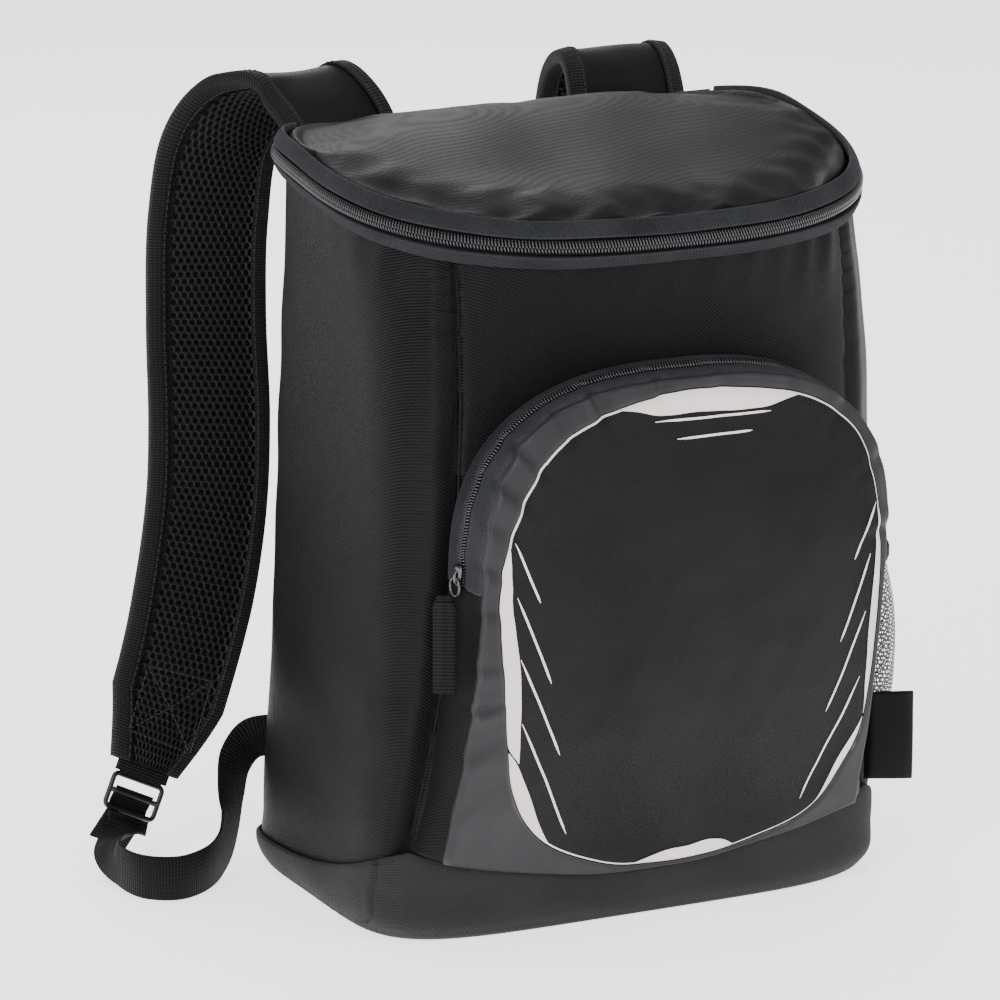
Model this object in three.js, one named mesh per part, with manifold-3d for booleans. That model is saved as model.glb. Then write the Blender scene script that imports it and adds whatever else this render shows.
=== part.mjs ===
// A cooler backpack standing on its base: a padded body with a zipped lid, a bulged front
// pocket, a net side pocket and two padded shoulder straps with webbing loops.
// Millimetres, +Z up. The origin is the middle of the flat underside, the front faces -Y and
// +X is on the right of someone who looks at the front.

import * as THREE from "three";
import Module from "manifold-3d";
import { mergeVertices } from "three/addons/utils/BufferGeometryUtils.js";

const wasm = await Module();
wasm.setup();

// Main form
const BODY_WIDTH = 306; // across the foot
const FRONT_REACH = 126; // origin to the front panel just under the rim
const BACK_REACH = 97; // origin to the back panel at the foot
const RIM_HEIGHT = 403; // the lid's zip line above the floor, over the origin
const RIM_TILT = 0.164; // how fast the zip line climbs towards the back
const RIM_BACK_DROP = 20; // how far it falls short of that slope at the back panel
const BODY_WALL = 6; // foam and both cloths
const CLOTH = 2; // a single reinforced cloth, as sewn
const GAP = 0.3; // left between pieces that touch on the real bag

// Base band
const BAND_BACK_HEIGHT = 17; // at the back and the rear of the sides
const BAND_CORNER_HEIGHT = 59; // at the front corners
const BAND_FRONT_HEIGHT = 28; // in the middle of the front
const BAND_FRONT_DIP = 1.9; // above 1, the dip in the middle of the front is flatter
const BAND_SIDE_DIP = 2.6; // above 1, the side drops more steeply at the front corner
const BAND_CLEAR = 0.6; // between the facets of the band and of the body inside it

// Lid and its zip
const LID_RISE = 15.5; // top of the dome above the zip line
const LID_PAD = 6;
const LID_ZIP_COIL = 9; // height of the row of teeth
const LID_ZIP_TAPE = 8; // visible height of each tape
const LID_ZIP_PROUD = 6.3; // how far the zip stands out from the body
const LID_TAPE_EDGE = 1.6; // thickness of a tape at its sewn edge
const LID_ZIP_END = 138; // degrees from +X, where the zip stops near the back corner
const HINGE_CLOTH = 1.5;
const HINGE_HEIGHT = 22;
const LID_SLIDER_LENGTH = 16;
const LID_SLIDER_HEIGHT = 10;
const LID_SLIDER_PROUD = 4;
const LID_SLIDER_BACK = 2; // degrees from the end of the zip back to the slider
const LID_COIL_CROWN = 1; // the middle of the teeth beyond their edges

// Front pocket
const POCKET_HALF = 120; // middle to the sewn edge, where the arch begins
const POCKET_FOOT_HALF = 136; // middle to the sewn edge at the base band
const POCKET_TOP = 315; // sewn edge at the top of the arch
const POCKET_SQUARE = 2.65; // 2 is a round arch, above it the arch is squarer
const POCKET_SPRING = 205; // where the arch and its zip begin
const FACE_HALF = 119; // the same five for the outline of the face
const FACE_FOOT_HALF = 125;
const FACE_TOP = 309;
const FACE_SQUARE = 2.9;
const FACE_SPRING = 205;
const POCKET_DEPTH = 32; // face in front of the front panel, where it is fullest
const FACE_CROWN = 7; // extra bulge in the middle of the face
const FACE_RIM_HOLD = 4; // how quickly the face leaves its outline for the pocket's depth
const POCKET_ZIP_COIL = 6.5;
const POCKET_ZIP_PROUD = 1; // teeth above the tapes
const POCKET_ZIP_PLACE = 0.5; // share of the way from the sewn edge to the face

// Pocket slider, ring and pull
const SLIDER_LENGTH = 12;
const SLIDER_WIDTH = 8;
const SLIDER_THICK = 3.5;
const RING_RADIUS = 5;
const RING_WIRE = 0.9;
const PULL_LENGTH = 55;
const PULL_WIDTH = 11;
const PULL_THICK = 1.8;
const PULL_TURN = 30; // degrees that its flat side turns from the front towards the left

// Net side pocket and tag, both on the right
const NET_HEIGHT = 176; // top of the net above the floor
const NET_BULGE = 26; // how far it hangs out from the side
const NET_THICK = 1.2;
const NET_STRAND = 3.2;
const NET_COLUMNS = 11;
const NET_ROWS = 9;
const NET_SEAT = 0.7; // clearance of the sewn edges from the side
const HEM_HEIGHT = 8;
const TAG_LENGTH = 27;
const TAG_HEIGHT = 50;
const TAG_THICK = 1.2;
const TAG_FOOT = 56; // lower edge above the floor
const TAG_TURN = 23; // degrees that it points forward of straight right

// Shoulder straps
const STRAP_WIDTH = 70;
const STRAP_BOW = 68; // how far a strap stands behind the back panel
const PAD_THICK = 7.6;
const PAD_EDGE = 4.4;
const MESH_THICK = 1.3;
const MESH_CROWN = 0.9;
const BINDING_WIDTH = 10;
const BINDING_THICK = 1.2;
const BINDING_LOOSE = 1.5; // times GAP between it and the edge of the pad
const TAB_WIDTH = 34; // ribbed tab that holds the buckle
const TAB_LENGTH = 6;
const TAB_THICK = 4;
const BUCKLE_WIDTH = 36;
const BUCKLE_LENGTH = 22;
const BUCKLE_THICK = 2.6;
const BUCKLE_BAR = 3;
const WEBBING_WIDTH = 25;
const WEBBING_THICK = 1.6;
const TAIL_LENGTH = 17; // free end of the webbing below the buckle
const TAIL_LEAN = 8; // how far its end stands off behind the loop
const TAIL_SEAT = 3; // middle of the tail to the middle of the loop, in thicknesses
const LOOP_STRAIGHT = 5; // how far the loop leaves the buckle straight

// How finely the round shapes are faceted
const QUARTER_STEPS = 12; // facets in each quarter of the body
const CORNER_CROWDING = 1.5; // above 1, the facets gather at the corners
const LEG_STEPS = 4;
const ARCH_STEPS = 20;
const FOOT_STEPS = 10;
const STRAP_STEPS = 22;
const WEBBING_STEPS = 26;
const RING_SIDES = 6;
const RING_STEPS = 14;

// Plan of the body at several heights. up: share of the zip line's height. half, front and
// back: shares of half BODY_WIDTH, FRONT_REACH and BACK_REACH. The last two say how square
// the corners are: 2 is an ellipse.
const BODY_SECTIONS = [
  { up: 0.0, half: 0.975, front: 0.76, back: 0.975, frontSquare: 5.0, backSquare: 7.0 },
  { up: 0.02, half: 0.995, front: 0.785, back: 1.0, frontSquare: 6.0, backSquare: 8.0 },
  { up: 0.08, half: 1.0, front: 0.79, back: 1.0, frontSquare: 6.8, backSquare: 8.0 },
  { up: 0.25, half: 0.995, front: 0.83, back: 0.99, frontSquare: 6.0, backSquare: 6.0 },
  { up: 0.5, half: 0.99, front: 0.89, back: 0.98, frontSquare: 5.0, backSquare: 4.6 },
  { up: 0.75, half: 0.985, front: 0.945, back: 0.965, frontSquare: 4.2, backSquare: 3.8 },
  { up: 0.88, half: 0.98, front: 0.98, back: 0.955, frontSquare: 3.3, backSquare: 3.5 },
  { up: 1.0, half: 0.98, front: 1.03, back: 0.95, frontSquare: 2.5, backSquare: 3.3 },
];

// Base band's rings from the floor up: at the body's own sections, but no higher than a share
// of the band's height at each place
const BAND_RINGS = [
  { up: 0.02, most: 0.5 },
  { up: 0.08, most: 0.9 },
  { up: 1.0, most: 1.0 },
];

// Dome of the lid from its edge to its middle. inward: share of the way in. rise: share of
// LID_RISE.
const LID_RINGS = [
  { inward: 0.0, rise: 0.42 },
  { inward: 0.025, rise: 0.62 },
  { inward: 0.08, rise: 0.77 },
  { inward: 0.2, rise: 0.9 },
  { inward: 0.45, rise: 0.97 },
  { inward: 0.9, rise: 1.0 },
];
const LID_INNER_RINGS = [
  { inward: 0.04, rise: 0.42 },
  { inward: 0.2, rise: 0.85 },
  { inward: 0.9, rise: 1.0 },
];

// How far the pocket's face stands out. up: share of FACE_TOP. depth: share of POCKET_DEPTH.
const POCKET_PROFILE = [
  { up: 0.0, depth: 0.06 },
  { up: 0.1, depth: 0.12 },
  { up: 0.2, depth: 0.3 },
  { up: 0.33, depth: 0.62 },
  { up: 0.5, depth: 0.9 },
  { up: 0.66, depth: 1.0 },
  { up: 0.84, depth: 0.94 },
  { up: 1.0, depth: 0.68 },
];

// Rings of the face from its outline to its middle. out: share of the outline's size.
// crown: share of FACE_CROWN.
const FACE_RINGS = [
  { out: 1.0, crown: 0.0 },
  { out: 0.94, crown: 0.3 },
  { out: 0.8, crown: 0.62 },
  { out: 0.5, crown: 0.92 },
  { out: 0.2, crown: 1.0 },
];

// Net pocket: fullness up its height, as shares of NET_BULGE
const NET_PROFILE = [
  { up: 0.0, full: 0.0 },
  { up: 0.12, full: 0.5 },
  { up: 0.3, full: 0.88 },
  { up: 0.5, full: 1.0 },
  { up: 0.8, full: 0.92 },
  { up: 1.0, full: 0.66 },
];
const NET_FRONT = 0.84; // its sewn edges, as shares of the front and back reach
const NET_BACK = 0.66;
const NET_SPREAD = 2.6; // above 2, the bulge is flatter in the middle

// Routes of the straps from the back panel over the crest and down. out: share of half
// BODY_WIDTH from the middle. bow: share of STRAP_BOW behind the back panel. up: share of
// RIM_HEIGHT. turn: degrees that the strap's width turns about the vertical. wide: share of
// STRAP_WIDTH.
const LEFT_STRAP = [
  { out: 0.56, bow: -0.034, up: 0.955, turn: 12, wide: 0.97 },
  { out: 0.57, bow: 0.0, up: 1.0, turn: 9, wide: 0.97 },
  { out: 0.61, bow: 0.2, up: 1.046, turn: 3, wide: 0.97 },
  { out: 0.67, bow: 0.47, up: 1.071, turn: 0, wide: 0.97 },
  { out: 0.76, bow: 0.79, up: 1.044, turn: -2, wide: 0.97 },
  { out: 0.87, bow: 0.98, up: 0.98, turn: -3, wide: 0.98 },
  { out: 0.925, bow: 1.0, up: 0.87, turn: -3, wide: 1.0 },
  { out: 0.955, bow: 0.91, up: 0.735, turn: -2, wide: 1.0 },
  { out: 1.0, bow: 0.63, up: 0.597, turn: 0, wide: 1.02 },
  { out: 1.046, bow: 0.47, up: 0.484, turn: 2, wide: 1.03 },
  { out: 1.137, bow: 0.31, up: 0.355, turn: 4, wide: 1.04 },
  { out: 1.255, bow: 0.22, up: 0.225, turn: 6, wide: 1.02 },
  { out: 1.37, bow: 0.13, up: 0.135, turn: 8, wide: 0.62 },
];
const RIGHT_STRAP = [
  { out: 0.56, bow: -0.034, up: 0.955, turn: 12, wide: 0.97 },
  { out: 0.57, bow: 0.01, up: 1.01, turn: 9, wide: 0.97 },
  { out: 0.585, bow: 0.2, up: 1.06, turn: 3, wide: 0.97 },
  { out: 0.595, bow: 0.4, up: 1.074, turn: 0, wide: 0.97 },
  { out: 0.61, bow: 0.72, up: 1.05, turn: 0, wide: 0.97 },
  { out: 0.62, bow: 0.92, up: 0.98, turn: 0, wide: 0.98 },
  { out: 0.63, bow: 0.9, up: 0.86, turn: 0, wide: 1.0 },
  { out: 0.64, bow: 0.78, up: 0.72, turn: 0, wide: 1.0 },
  { out: 0.65, bow: 0.62, up: 0.59, turn: 0, wide: 1.02 },
  { out: 0.66, bow: 0.48, up: 0.47, turn: 0, wide: 1.03 },
  { out: 0.67, bow: 0.4, up: 0.35, turn: 0, wide: 1.04 },
  { out: 0.68, bow: 0.36, up: 0.23, turn: 0, wide: 1.02 },
  { out: 0.69, bow: 0.34, up: 0.145, turn: 0, wide: 0.62 },
];

// Routes of the webbing loops from the buckle to the lower back corner, where they are sewn
// in. out and bow as above. lift: share of WEBBING_WIDTH above the floor, for the middle of
// the webbing. aside, ahead, above: direction of its upper or inner edge, with aside positive
// away from the body and ahead positive to the front. The first row lies at the buckle.
const LEFT_WEBBING = [
  { out: 1.47, bow: 0.0, lift: 1.1, aside: -1.0, ahead: 0.0, above: 0.0 },
  { out: 1.56, bow: -0.2, lift: 0.78, aside: -0.4, ahead: 0.8, above: 0.45 },
  { out: 1.59, bow: -0.52, lift: 0.61, aside: 0.0, ahead: 0.3, above: 0.95 },
  { out: 1.555, bow: -0.84, lift: 0.56, aside: 0.0, ahead: 0.0, above: 1.0 },
  { out: 1.45, bow: -1.0, lift: 0.56, aside: 0.0, ahead: 0.0, above: 1.0 },
  { out: 1.33, bow: -0.9, lift: 0.56, aside: 0.0, ahead: 0.0, above: 1.0 },
  { out: 1.2, bow: -0.58, lift: 0.6, aside: 0.15, ahead: 0.15, above: 0.97 },
  { out: 1.11, bow: -0.27, lift: 0.95, aside: 0.55, ahead: 0.5, above: 0.65 },
  { out: 1.07, bow: -0.1, lift: 1.6, aside: 0.8, ahead: 0.5, above: 0.2 },
  { out: 1.03, bow: 0.0, lift: 2.2, aside: 0.8, ahead: 0.2, above: 0.55 },
  { out: 0.96, bow: 0.02, lift: 2.6, aside: 0.45, ahead: 0.0, above: 0.9 },
  { out: 0.84, bow: -0.13, lift: 2.7, aside: 0.0, ahead: 0.0, above: 1.0 },
];
const RIGHT_WEBBING = [
  { out: 0.69, bow: 0.34, lift: 1.1, aside: 1.0, ahead: 0.0, above: 0.0 },
  { out: 0.71, bow: 0.47, lift: 0.74, aside: 0.5, ahead: -0.5, above: 0.6 },
  { out: 0.78, bow: 0.6, lift: 0.58, aside: 0.0, ahead: 0.0, above: 1.0 },
  { out: 0.9, bow: 0.62, lift: 0.56, aside: 0.0, ahead: 0.0, above: 1.0 },
  { out: 1.02, bow: 0.48, lift: 0.58, aside: 0.0, ahead: 0.0, above: 1.0 },
  { out: 1.09, bow: 0.22, lift: 0.9, aside: -0.3, ahead: -0.4, above: 0.85 },
  { out: 1.09, bow: 0.09, lift: 1.6, aside: -0.5, ahead: -0.8, above: 0.3 },
  { out: 1.05, bow: 0.03, lift: 2.2, aside: 0.1, ahead: -0.8, above: 0.6 },
  { out: 0.97, bow: 0.02, lift: 2.6, aside: 0.0, ahead: -0.3, above: 0.95 },
  { out: 0.84, bow: -0.13, lift: 2.7, aside: 0.0, ahead: 0.0, above: 1.0 },
];

// Finishes
const FINISHES = {
  body_twill: { color: 0x17171a, roughness: 0.62, metalness: 0 },
  band_cloth: { color: 0x2b2b2e, roughness: 0.75, metalness: 0 },
  zip_tape: { color: 0x33353c, roughness: 0.8, metalness: 0 },
  zip_teeth: { color: 0x1a1a1c, roughness: 0.35, metalness: 0 },
  pocket_cloth: { color: 0x3c3c40, roughness: 0.5, metalness: 0 },
  slider_metal: { color: 0x2a2a2c, roughness: 0.3, metalness: 0.9 },
  webbing: { color: 0x141416, roughness: 0.7, metalness: 0 },
  net: { color: 0x1c1c1e, roughness: 0.8, metalness: 0 },
  strap_satin: { color: 0x131315, roughness: 0.5, metalness: 0 },
  spacer_mesh: { color: 0x19191c, roughness: 0.85, metalness: 0 },
};

const HALF_WIDTH = BODY_WIDTH / 2;
const HALF_TURN = 180;

function radians(degrees) {
  return (degrees * Math.PI) / HALF_TURN;
}

function mix(low, high, share) {
  return low + (high - low) * share;
}

// The row of a table at a value of its key column, each number mixed between its neighbours
function rowAt(table, key, value) {
  const last = table.length - 1;
  let i = 0;
  while (i < last - 1 && table[i + 1][key] < value) {
    i += 1;
  }
  const share = (value - table[i][key]) / (table[i + 1][key] - table[i][key]);
  const held = Math.min(1, Math.max(0, share));
  const names = Object.keys(table[i]);
  return Object.fromEntries(names.map((name) => [name, mix(table[i][name], table[i + 1][name], held)]));
}

// Height of the lid's zip line above a point of the floor
function rimHeight(y) {
  const back = Math.max(0, y / BACK_REACH);
  return RIM_HEIGHT + RIM_TILT * y - RIM_BACK_DROP * back ** 3;
}

// A point of the body's plan. angle: radians in the unit square that the plan is stretched
// from. grow: how far outside the panel.
function planPoint(up, angle, grow) {
  const section = rowAt(BODY_SECTIONS, "up", up);
  const across = Math.cos(angle);
  const along = Math.sin(angle);
  const square = along < 0 ? section.frontSquare : section.backSquare;
  const reach = along < 0 ? section.front * FRONT_REACH : section.back * BACK_REACH;
  const radius = (Math.abs(across) ** square + Math.abs(along) ** square) ** (-1 / square);
  const x = (section.half * HALF_WIDTH + grow) * radius * across;
  const y = (reach + grow) * radius * along;
  return { x, y };
}

function bodyPoint(angle, up, grow) {
  const { x, y } = planPoint(up, angle, grow);
  return new THREE.Vector3(x, y, up * rimHeight(y));
}

// Distance of the front panel in front of the origin, at a place across and up
function frontAt(x, z) {
  const section = rowAt(BODY_SECTIONS, "up", z / rimHeight(-FRONT_REACH));
  const share = Math.min(1, Math.abs(x) / (section.half * HALF_WIDTH));
  const depth = (1 - share ** section.frontSquare) ** (1 / section.frontSquare);
  return section.front * FRONT_REACH * depth;
}

// Distance of the side panel from the middle, at a depth and height
function sideAt(y, z) {
  const section = rowAt(BODY_SECTIONS, "up", z / rimHeight(y));
  const square = y < 0 ? section.frontSquare : section.backSquare;
  const reach = y < 0 ? section.front * FRONT_REACH : section.back * BACK_REACH;
  const share = Math.min(1, Math.abs(y) / reach);
  return section.half * HALF_WIDTH * (1 - share ** square) ** (1 / square);
}

// Directions round the body, closer together at the corners
function roundAngles() {
  const angles = [];
  for (let quarter = 0; quarter < 4; quarter += 1) {
    for (let step = 0; step < QUARTER_STEPS; step += 1) {
      const away = (2 * step) / QUARTER_STEPS - 1;
      const bent = Math.sign(away) * Math.abs(away) ** CORNER_CROWDING;
      angles.push(((quarter + (1 + bent) / 2) * Math.PI) / 2);
    }
  }
  return angles;
}

const ROUND = roundAngles();

// The directions of ROUND between two angles, with both ends added
function anglesBetween(from, to) {
  const turn = 2 * Math.PI;
  const more = ROUND.flatMap((angle) => [angle, angle + turn]);
  const inside = more.filter((angle) => angle > from && angle < to);
  return [from, ...inside.sort((a, b) => a - b), to];
}

// Triangles that close a ring, turned the way the ring runs
function capTriangles(ring) {
  const middle = ring.reduce((sum, p) => sum.add(p), new THREE.Vector3()).divideScalar(ring.length);
  const normal = new THREE.Vector3();
  ring.forEach((p, i) => {
    const next = ring[(i + 1) % ring.length];
    normal.add(p.clone().sub(middle).cross(next.clone().sub(middle)));
  });
  normal.normalize();
  const flat = new THREE.Quaternion().setFromUnitVectors(normal, new THREE.Vector3(0, 0, 1));
  const outline = ring.map((p) => {
    const turned = p.clone().sub(middle).applyQuaternion(flat);
    return new THREE.Vector2(turned.x, turned.y);
  });
  return THREE.ShapeUtils.triangulateShape(outline, []).map(([a, b, c]) => {
    const area = THREE.ShapeUtils.area([outline[a], outline[b], outline[c]]);
    return area > 0 ? [a, b, c] : [a, c, b];
  });
}

// A closed solid through rings with the same number of points, capped at both ends
function loft(rings) {
  const per = rings[0].length;
  const corners = rings.flat();
  const faces = [];
  for (let i = 0; i < rings.length - 1; i += 1) {
    for (let j = 0; j < per; j += 1) {
      const k = (j + 1) % per;
      const here = i * per;
      const next = here + per;
      faces.push([here + j, here + k, next + k], [here + j, next + k, next + j]);
    }
  }
  const top = corners.length - per;
  capTriangles(rings[0]).forEach(([a, b, c]) => faces.push([a, c, b]));
  capTriangles(rings.at(-1)).forEach(([a, b, c]) => faces.push([top + a, top + b, top + c]));
  return solid(corners, faces);
}

// A geometry from corners and triangles, with its faces turned outwards
function solid(corners, faces) {
  const volume = faces.reduce((sum, [a, b, c]) => {
    return sum + corners[a].dot(corners[b].clone().cross(corners[c]));
  }, 0);
  const order = volume > 0 ? faces.flat() : faces.flatMap(([a, b, c]) => [a, c, b]);
  const geometry = new THREE.BufferGeometry().setFromPoints(corners);
  geometry.setIndex(order);
  geometry.computeVertexNormals();
  return geometry;
}

function toManifold(geometry) {
  const bare = geometry.clone();
  bare.deleteAttribute("normal");
  bare.deleteAttribute("uv");
  const merged = mergeVertices(bare);
  const vertProperties = new Float32Array(merged.getAttribute("position").array);
  const triVerts = new Uint32Array(merged.getIndex().array);
  return new wasm.Manifold(new wasm.Mesh({ numProp: 3, vertProperties, triVerts }));
}

function fromManifold(shape) {
  const mesh = shape.getMesh();
  const geometry = new THREE.BufferGeometry();
  geometry.setAttribute("position", new THREE.BufferAttribute(mesh.vertProperties, 3));
  geometry.setIndex(new THREE.BufferAttribute(mesh.triVerts, 1));
  geometry.computeVertexNormals();
  return geometry;
}

const bag = new THREE.Group();

function add(name, geometry, finish) {
  const mesh = new THREE.Mesh(geometry, new THREE.MeshStandardMaterial(FINISHES[finish]));
  mesh.name = name;
  bag.add(mesh);
  return mesh;
}

// Insulated body: a tub with padded walls, open at the top
const BODY_FLOOR = CLOTH + GAP;

function bodyRing(up, grow, floor) {
  return ROUND.map((angle) => {
    const point = bodyPoint(angle, up, grow);
    point.z = up === 0 ? floor : Math.max(floor, point.z - (up === 1 ? GAP / 2 : 0));
    return point;
  });
}

function makeBody() {
  const outside = BODY_SECTIONS.map(({ up }) => bodyRing(up, 0, BODY_FLOOR));
  const inside = BODY_SECTIONS.slice(1).map(({ up }) => {
    return bodyRing(up, -BODY_WALL, BODY_FLOOR + BODY_WALL);
  });
  return loft([...outside, ...inside.reverse()]);
}

// Base band: a cloth tub round the foot, high at the front corners
function bandTop(x, y) {
  const front = mix(BAND_FRONT_HEIGHT, BAND_CORNER_HEIGHT, (Math.abs(x) / HALF_WIDTH) ** BAND_FRONT_DIP);
  const forward = (BACK_REACH - y) / (BACK_REACH + frontAt(0, BAND_CORNER_HEIGHT));
  const side = mix(BAND_BACK_HEIGHT, BAND_CORNER_HEIGHT, Math.max(0, forward) ** BAND_SIDE_DIP);
  return Math.min(front, side);
}

function bandRing({ up, most }, grow) {
  return ROUND.map((angle) => {
    const start = planPoint(0, angle, grow);
    const z = Math.min(up * rimHeight(start.y), most * bandTop(start.x, start.y));
    const { x, y } = planPoint(z / rimHeight(start.y), angle, grow);
    return new THREE.Vector3(x, y, z);
  });
}

const BAND_FLOOR = { up: 0, most: 0 };

function makeBand() {
  const outside = [BAND_FLOOR, ...BAND_RINGS].map((row) => bandRing(row, BAND_CLEAR + CLOTH));
  const inside = BAND_RINGS.map((row) => bandRing(row, BAND_CLEAR));
  const floor = bandRing(BAND_FLOOR, BAND_CLEAR).map((point) => point.setZ(CLOTH));
  return loft([...outside, ...inside.reverse(), floor]);
}

// Everything that is sewn on outside is trimmed to this shape, a hair outside both
function makeEnvelope() {
  const body = loft(BODY_SECTIONS.map(({ up }) => bodyRing(up, GAP, 0)));
  const floor = bandRing(BAND_FLOOR, BAND_CLEAR + CLOTH + GAP);
  const walls = BAND_RINGS.map((row) => bandRing(row, BAND_CLEAR + CLOTH + GAP));
  walls.at(-1).forEach((point) => point.setZ(point.z + GAP));
  return toManifold(body).add(toManifold(loft([floor, ...walls])));
}

const ENVELOPE = makeEnvelope();

function trimmed(geometry) {
  return fromManifold(toManifold(geometry).subtract(ENVELOPE));
}

add("insulated_body", makeBody(), "body_twill");
add("base_band", makeBand(), "band_cloth");

// Lid: a padded dome whose edge meets the top of the body's wall
function lidRing(inward, height) {
  return ROUND.map((angle) => {
    const { x, y } = planPoint(1, angle, 0);
    const point = new THREE.Vector3(x * (1 - inward), y * (1 - inward), 0);
    return point.setZ(rimHeight(point.y) + height);
  });
}

function makeLid() {
  const dome = LID_RINGS.map(({ inward, rise }) => lidRing(inward, rise * LID_RISE));
  const under = LID_INNER_RINGS.map(({ inward, rise }) => {
    return lidRing(inward, Math.max(GAP / 2, rise * LID_RISE - LID_PAD));
  });
  const edge = lidRing(0, GAP / 2);
  const innerEdge = lidRing(LID_PAD / HALF_WIDTH, GAP / 2);
  return loft([...dome.reverse(), edge, innerEdge, ...under]);
}

// A strip that follows the rim. section: corners as how far out and how high above the zip
// line.
function rimStrip(from, to, section) {
  const stations = anglesBetween(radians(from), radians(to)).map((angle) => {
    return section.map(({ out, high }) => {
      const up = Math.min(1, 1 + high / RIM_HEIGHT);
      const { x, y } = planPoint(up, angle, out);
      return new THREE.Vector3(x, y, rimHeight(y) + high);
    });
  });
  return loft(stations);
}

const COIL_HALF = LID_ZIP_COIL / 2;
const TAPE_START = COIL_HALF + GAP;
const TAPE_END = COIL_HALF + LID_ZIP_TAPE;
const LID_COIL_OUT = LID_ZIP_PROUD + LID_COIL_CROWN;
const ZIP_FROM = LID_ZIP_END;
const ZIP_TO = 3 * HALF_TURN - LID_ZIP_END;

function lidTape(sign) {
  return [
    { out: GAP, high: sign * TAPE_START },
    { out: LID_ZIP_PROUD, high: sign * TAPE_START },
    { out: GAP + LID_TAPE_EDGE, high: sign * TAPE_END },
    { out: GAP, high: sign * TAPE_END },
  ];
}

const LID_COIL = [
  { out: GAP, high: -COIL_HALF },
  { out: LID_ZIP_PROUD, high: -COIL_HALF },
  { out: LID_COIL_OUT, high: 0 },
  { out: LID_ZIP_PROUD, high: COIL_HALF },
  { out: GAP, high: COIL_HALF },
];

const HINGE_STRIP = [
  { out: GAP, high: -HINGE_HEIGHT / 2 },
  { out: GAP + HINGE_CLOTH, high: -HINGE_HEIGHT / 2 },
  { out: GAP + HINGE_CLOTH, high: HINGE_HEIGHT / 2 },
  { out: GAP, high: HINGE_HEIGHT / 2 },
];

add("lid_panel", makeLid(), "body_twill");
add("lid_zip_tape_lower", rimStrip(ZIP_FROM, ZIP_TO, lidTape(-1)), "zip_tape");
add("lid_zip_coil", rimStrip(ZIP_FROM, ZIP_TO, LID_COIL), "zip_teeth");
add("lid_zip_tape_upper", rimStrip(ZIP_FROM, ZIP_TO, lidTape(1)), "zip_tape");
add("lid_hinge", rimStrip(HALF_TURN - LID_ZIP_END + 1, LID_ZIP_END - 1, HINGE_STRIP), "body_twill");

// Front pocket. Its sewn edge and the outline of its face are each two legs and an arch.
function archOutline(size, side, share) {
  if (share < 0) {
    const x = mix(size.half, size.foot, share ** 2);
    const foot = bandTop(x, -FRONT_REACH) + GAP;
    return { x: side * x, z: mix(size.spring, foot, -share) };
  }
  const angle = (share * Math.PI) / 2;
  const bent = Math.cos(angle) ** size.square + Math.sin(angle) ** size.square;
  const radius = bent ** (-1 / size.square);
  const x = size.half * radius * Math.cos(angle);
  return { x: side * x, z: mix(size.spring, size.top, radius * Math.sin(angle)) };
}

const SEWN_EDGE = {
  half: POCKET_HALF,
  foot: POCKET_FOOT_HALF,
  spring: POCKET_SPRING,
  top: POCKET_TOP,
  square: POCKET_SQUARE,
};
const FACE_EDGE = {
  half: FACE_HALF,
  foot: FACE_FOOT_HALF,
  spring: FACE_SPRING,
  top: FACE_TOP,
  square: FACE_SQUARE,
};
const SEWN_SINK = 2; // the strips start this far inside the panel before they are trimmed

function sewnPoint(side, share) {
  const { x, z } = archOutline(SEWN_EDGE, side, share);
  return new THREE.Vector3(x, SEWN_SINK - frontAt(x, z), z);
}

// Front of the pocket at a height, before the crown of the face
function pocketFront(z) {
  const { depth } = rowAt(POCKET_PROFILE, "up", z / FACE_TOP);
  return -(frontAt(0, z) + CLOTH + GAP + depth * POCKET_DEPTH);
}

function facePoint(side, share) {
  const { x, z } = archOutline(FACE_EDGE, side, share);
  return new THREE.Vector3(x, pocketFront(z), z);
}

// Stations from the foot (-1) over the spring (0) to the top of the arch (1) on one side,
// or across the whole arch
function pocketStations(places) {
  return places.map(({ side, share }) => {
    const sewn = sewnPoint(side, share);
    const face = facePoint(side, share);
    return { sewn, face, across: face.clone().sub(sewn) };
  });
}

// A strip of the pocket's wall. from and to: distances from the sewn edge, or back from the
// face when negative. lift: its outer side above the wall. thick: its thickness.
function pocketStrip(places, from, to, lift, thick) {
  const stations = pocketStations(places);
  const rings = stations.map(({ sewn, across }, i) => {
    const before = stations[Math.max(0, i - 1)];
    const after = stations[Math.min(stations.length - 1, i + 1)];
    const run = after.sewn.clone().add(after.face).sub(before.sewn).sub(before.face);
    const outward = across.clone().cross(run).normalize();
    const wide = across.length();
    const place = (reach, high) => {
      const distance = reach(wide);
      return sewn.clone().addScaledVector(across, distance / wide).addScaledVector(outward, high);
    };
    return [place(from, lift), place(to, lift), place(to, lift - thick), place(from, lift - thick)];
  });
  return loft(rings);
}

function archPlaces() {
  const places = [];
  for (let i = 0; i <= ARCH_STEPS; i += 1) {
    const along = (2 * i) / ARCH_STEPS - 1;
    places.push({ side: along < 0 ? -1 : 1, share: 1 - Math.abs(along) });
  }
  return places;
}

function legPlaces(side) {
  const clear = (2 * GAP) / POCKET_SPRING;
  const places = [];
  for (let i = 0; i <= LEG_STEPS; i += 1) {
    places.push({ side, share: mix(-1, -clear, i / LEG_STEPS) });
  }
  return side < 0 ? places : places.reverse();
}

const ARCH = archPlaces();
const SEAM_ROOM = CLOTH + 2 * GAP; // a wall strip stops this far short of the face

function coilStart(wide) {
  return wide * POCKET_ZIP_PLACE - POCKET_ZIP_COIL / 2;
}

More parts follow.
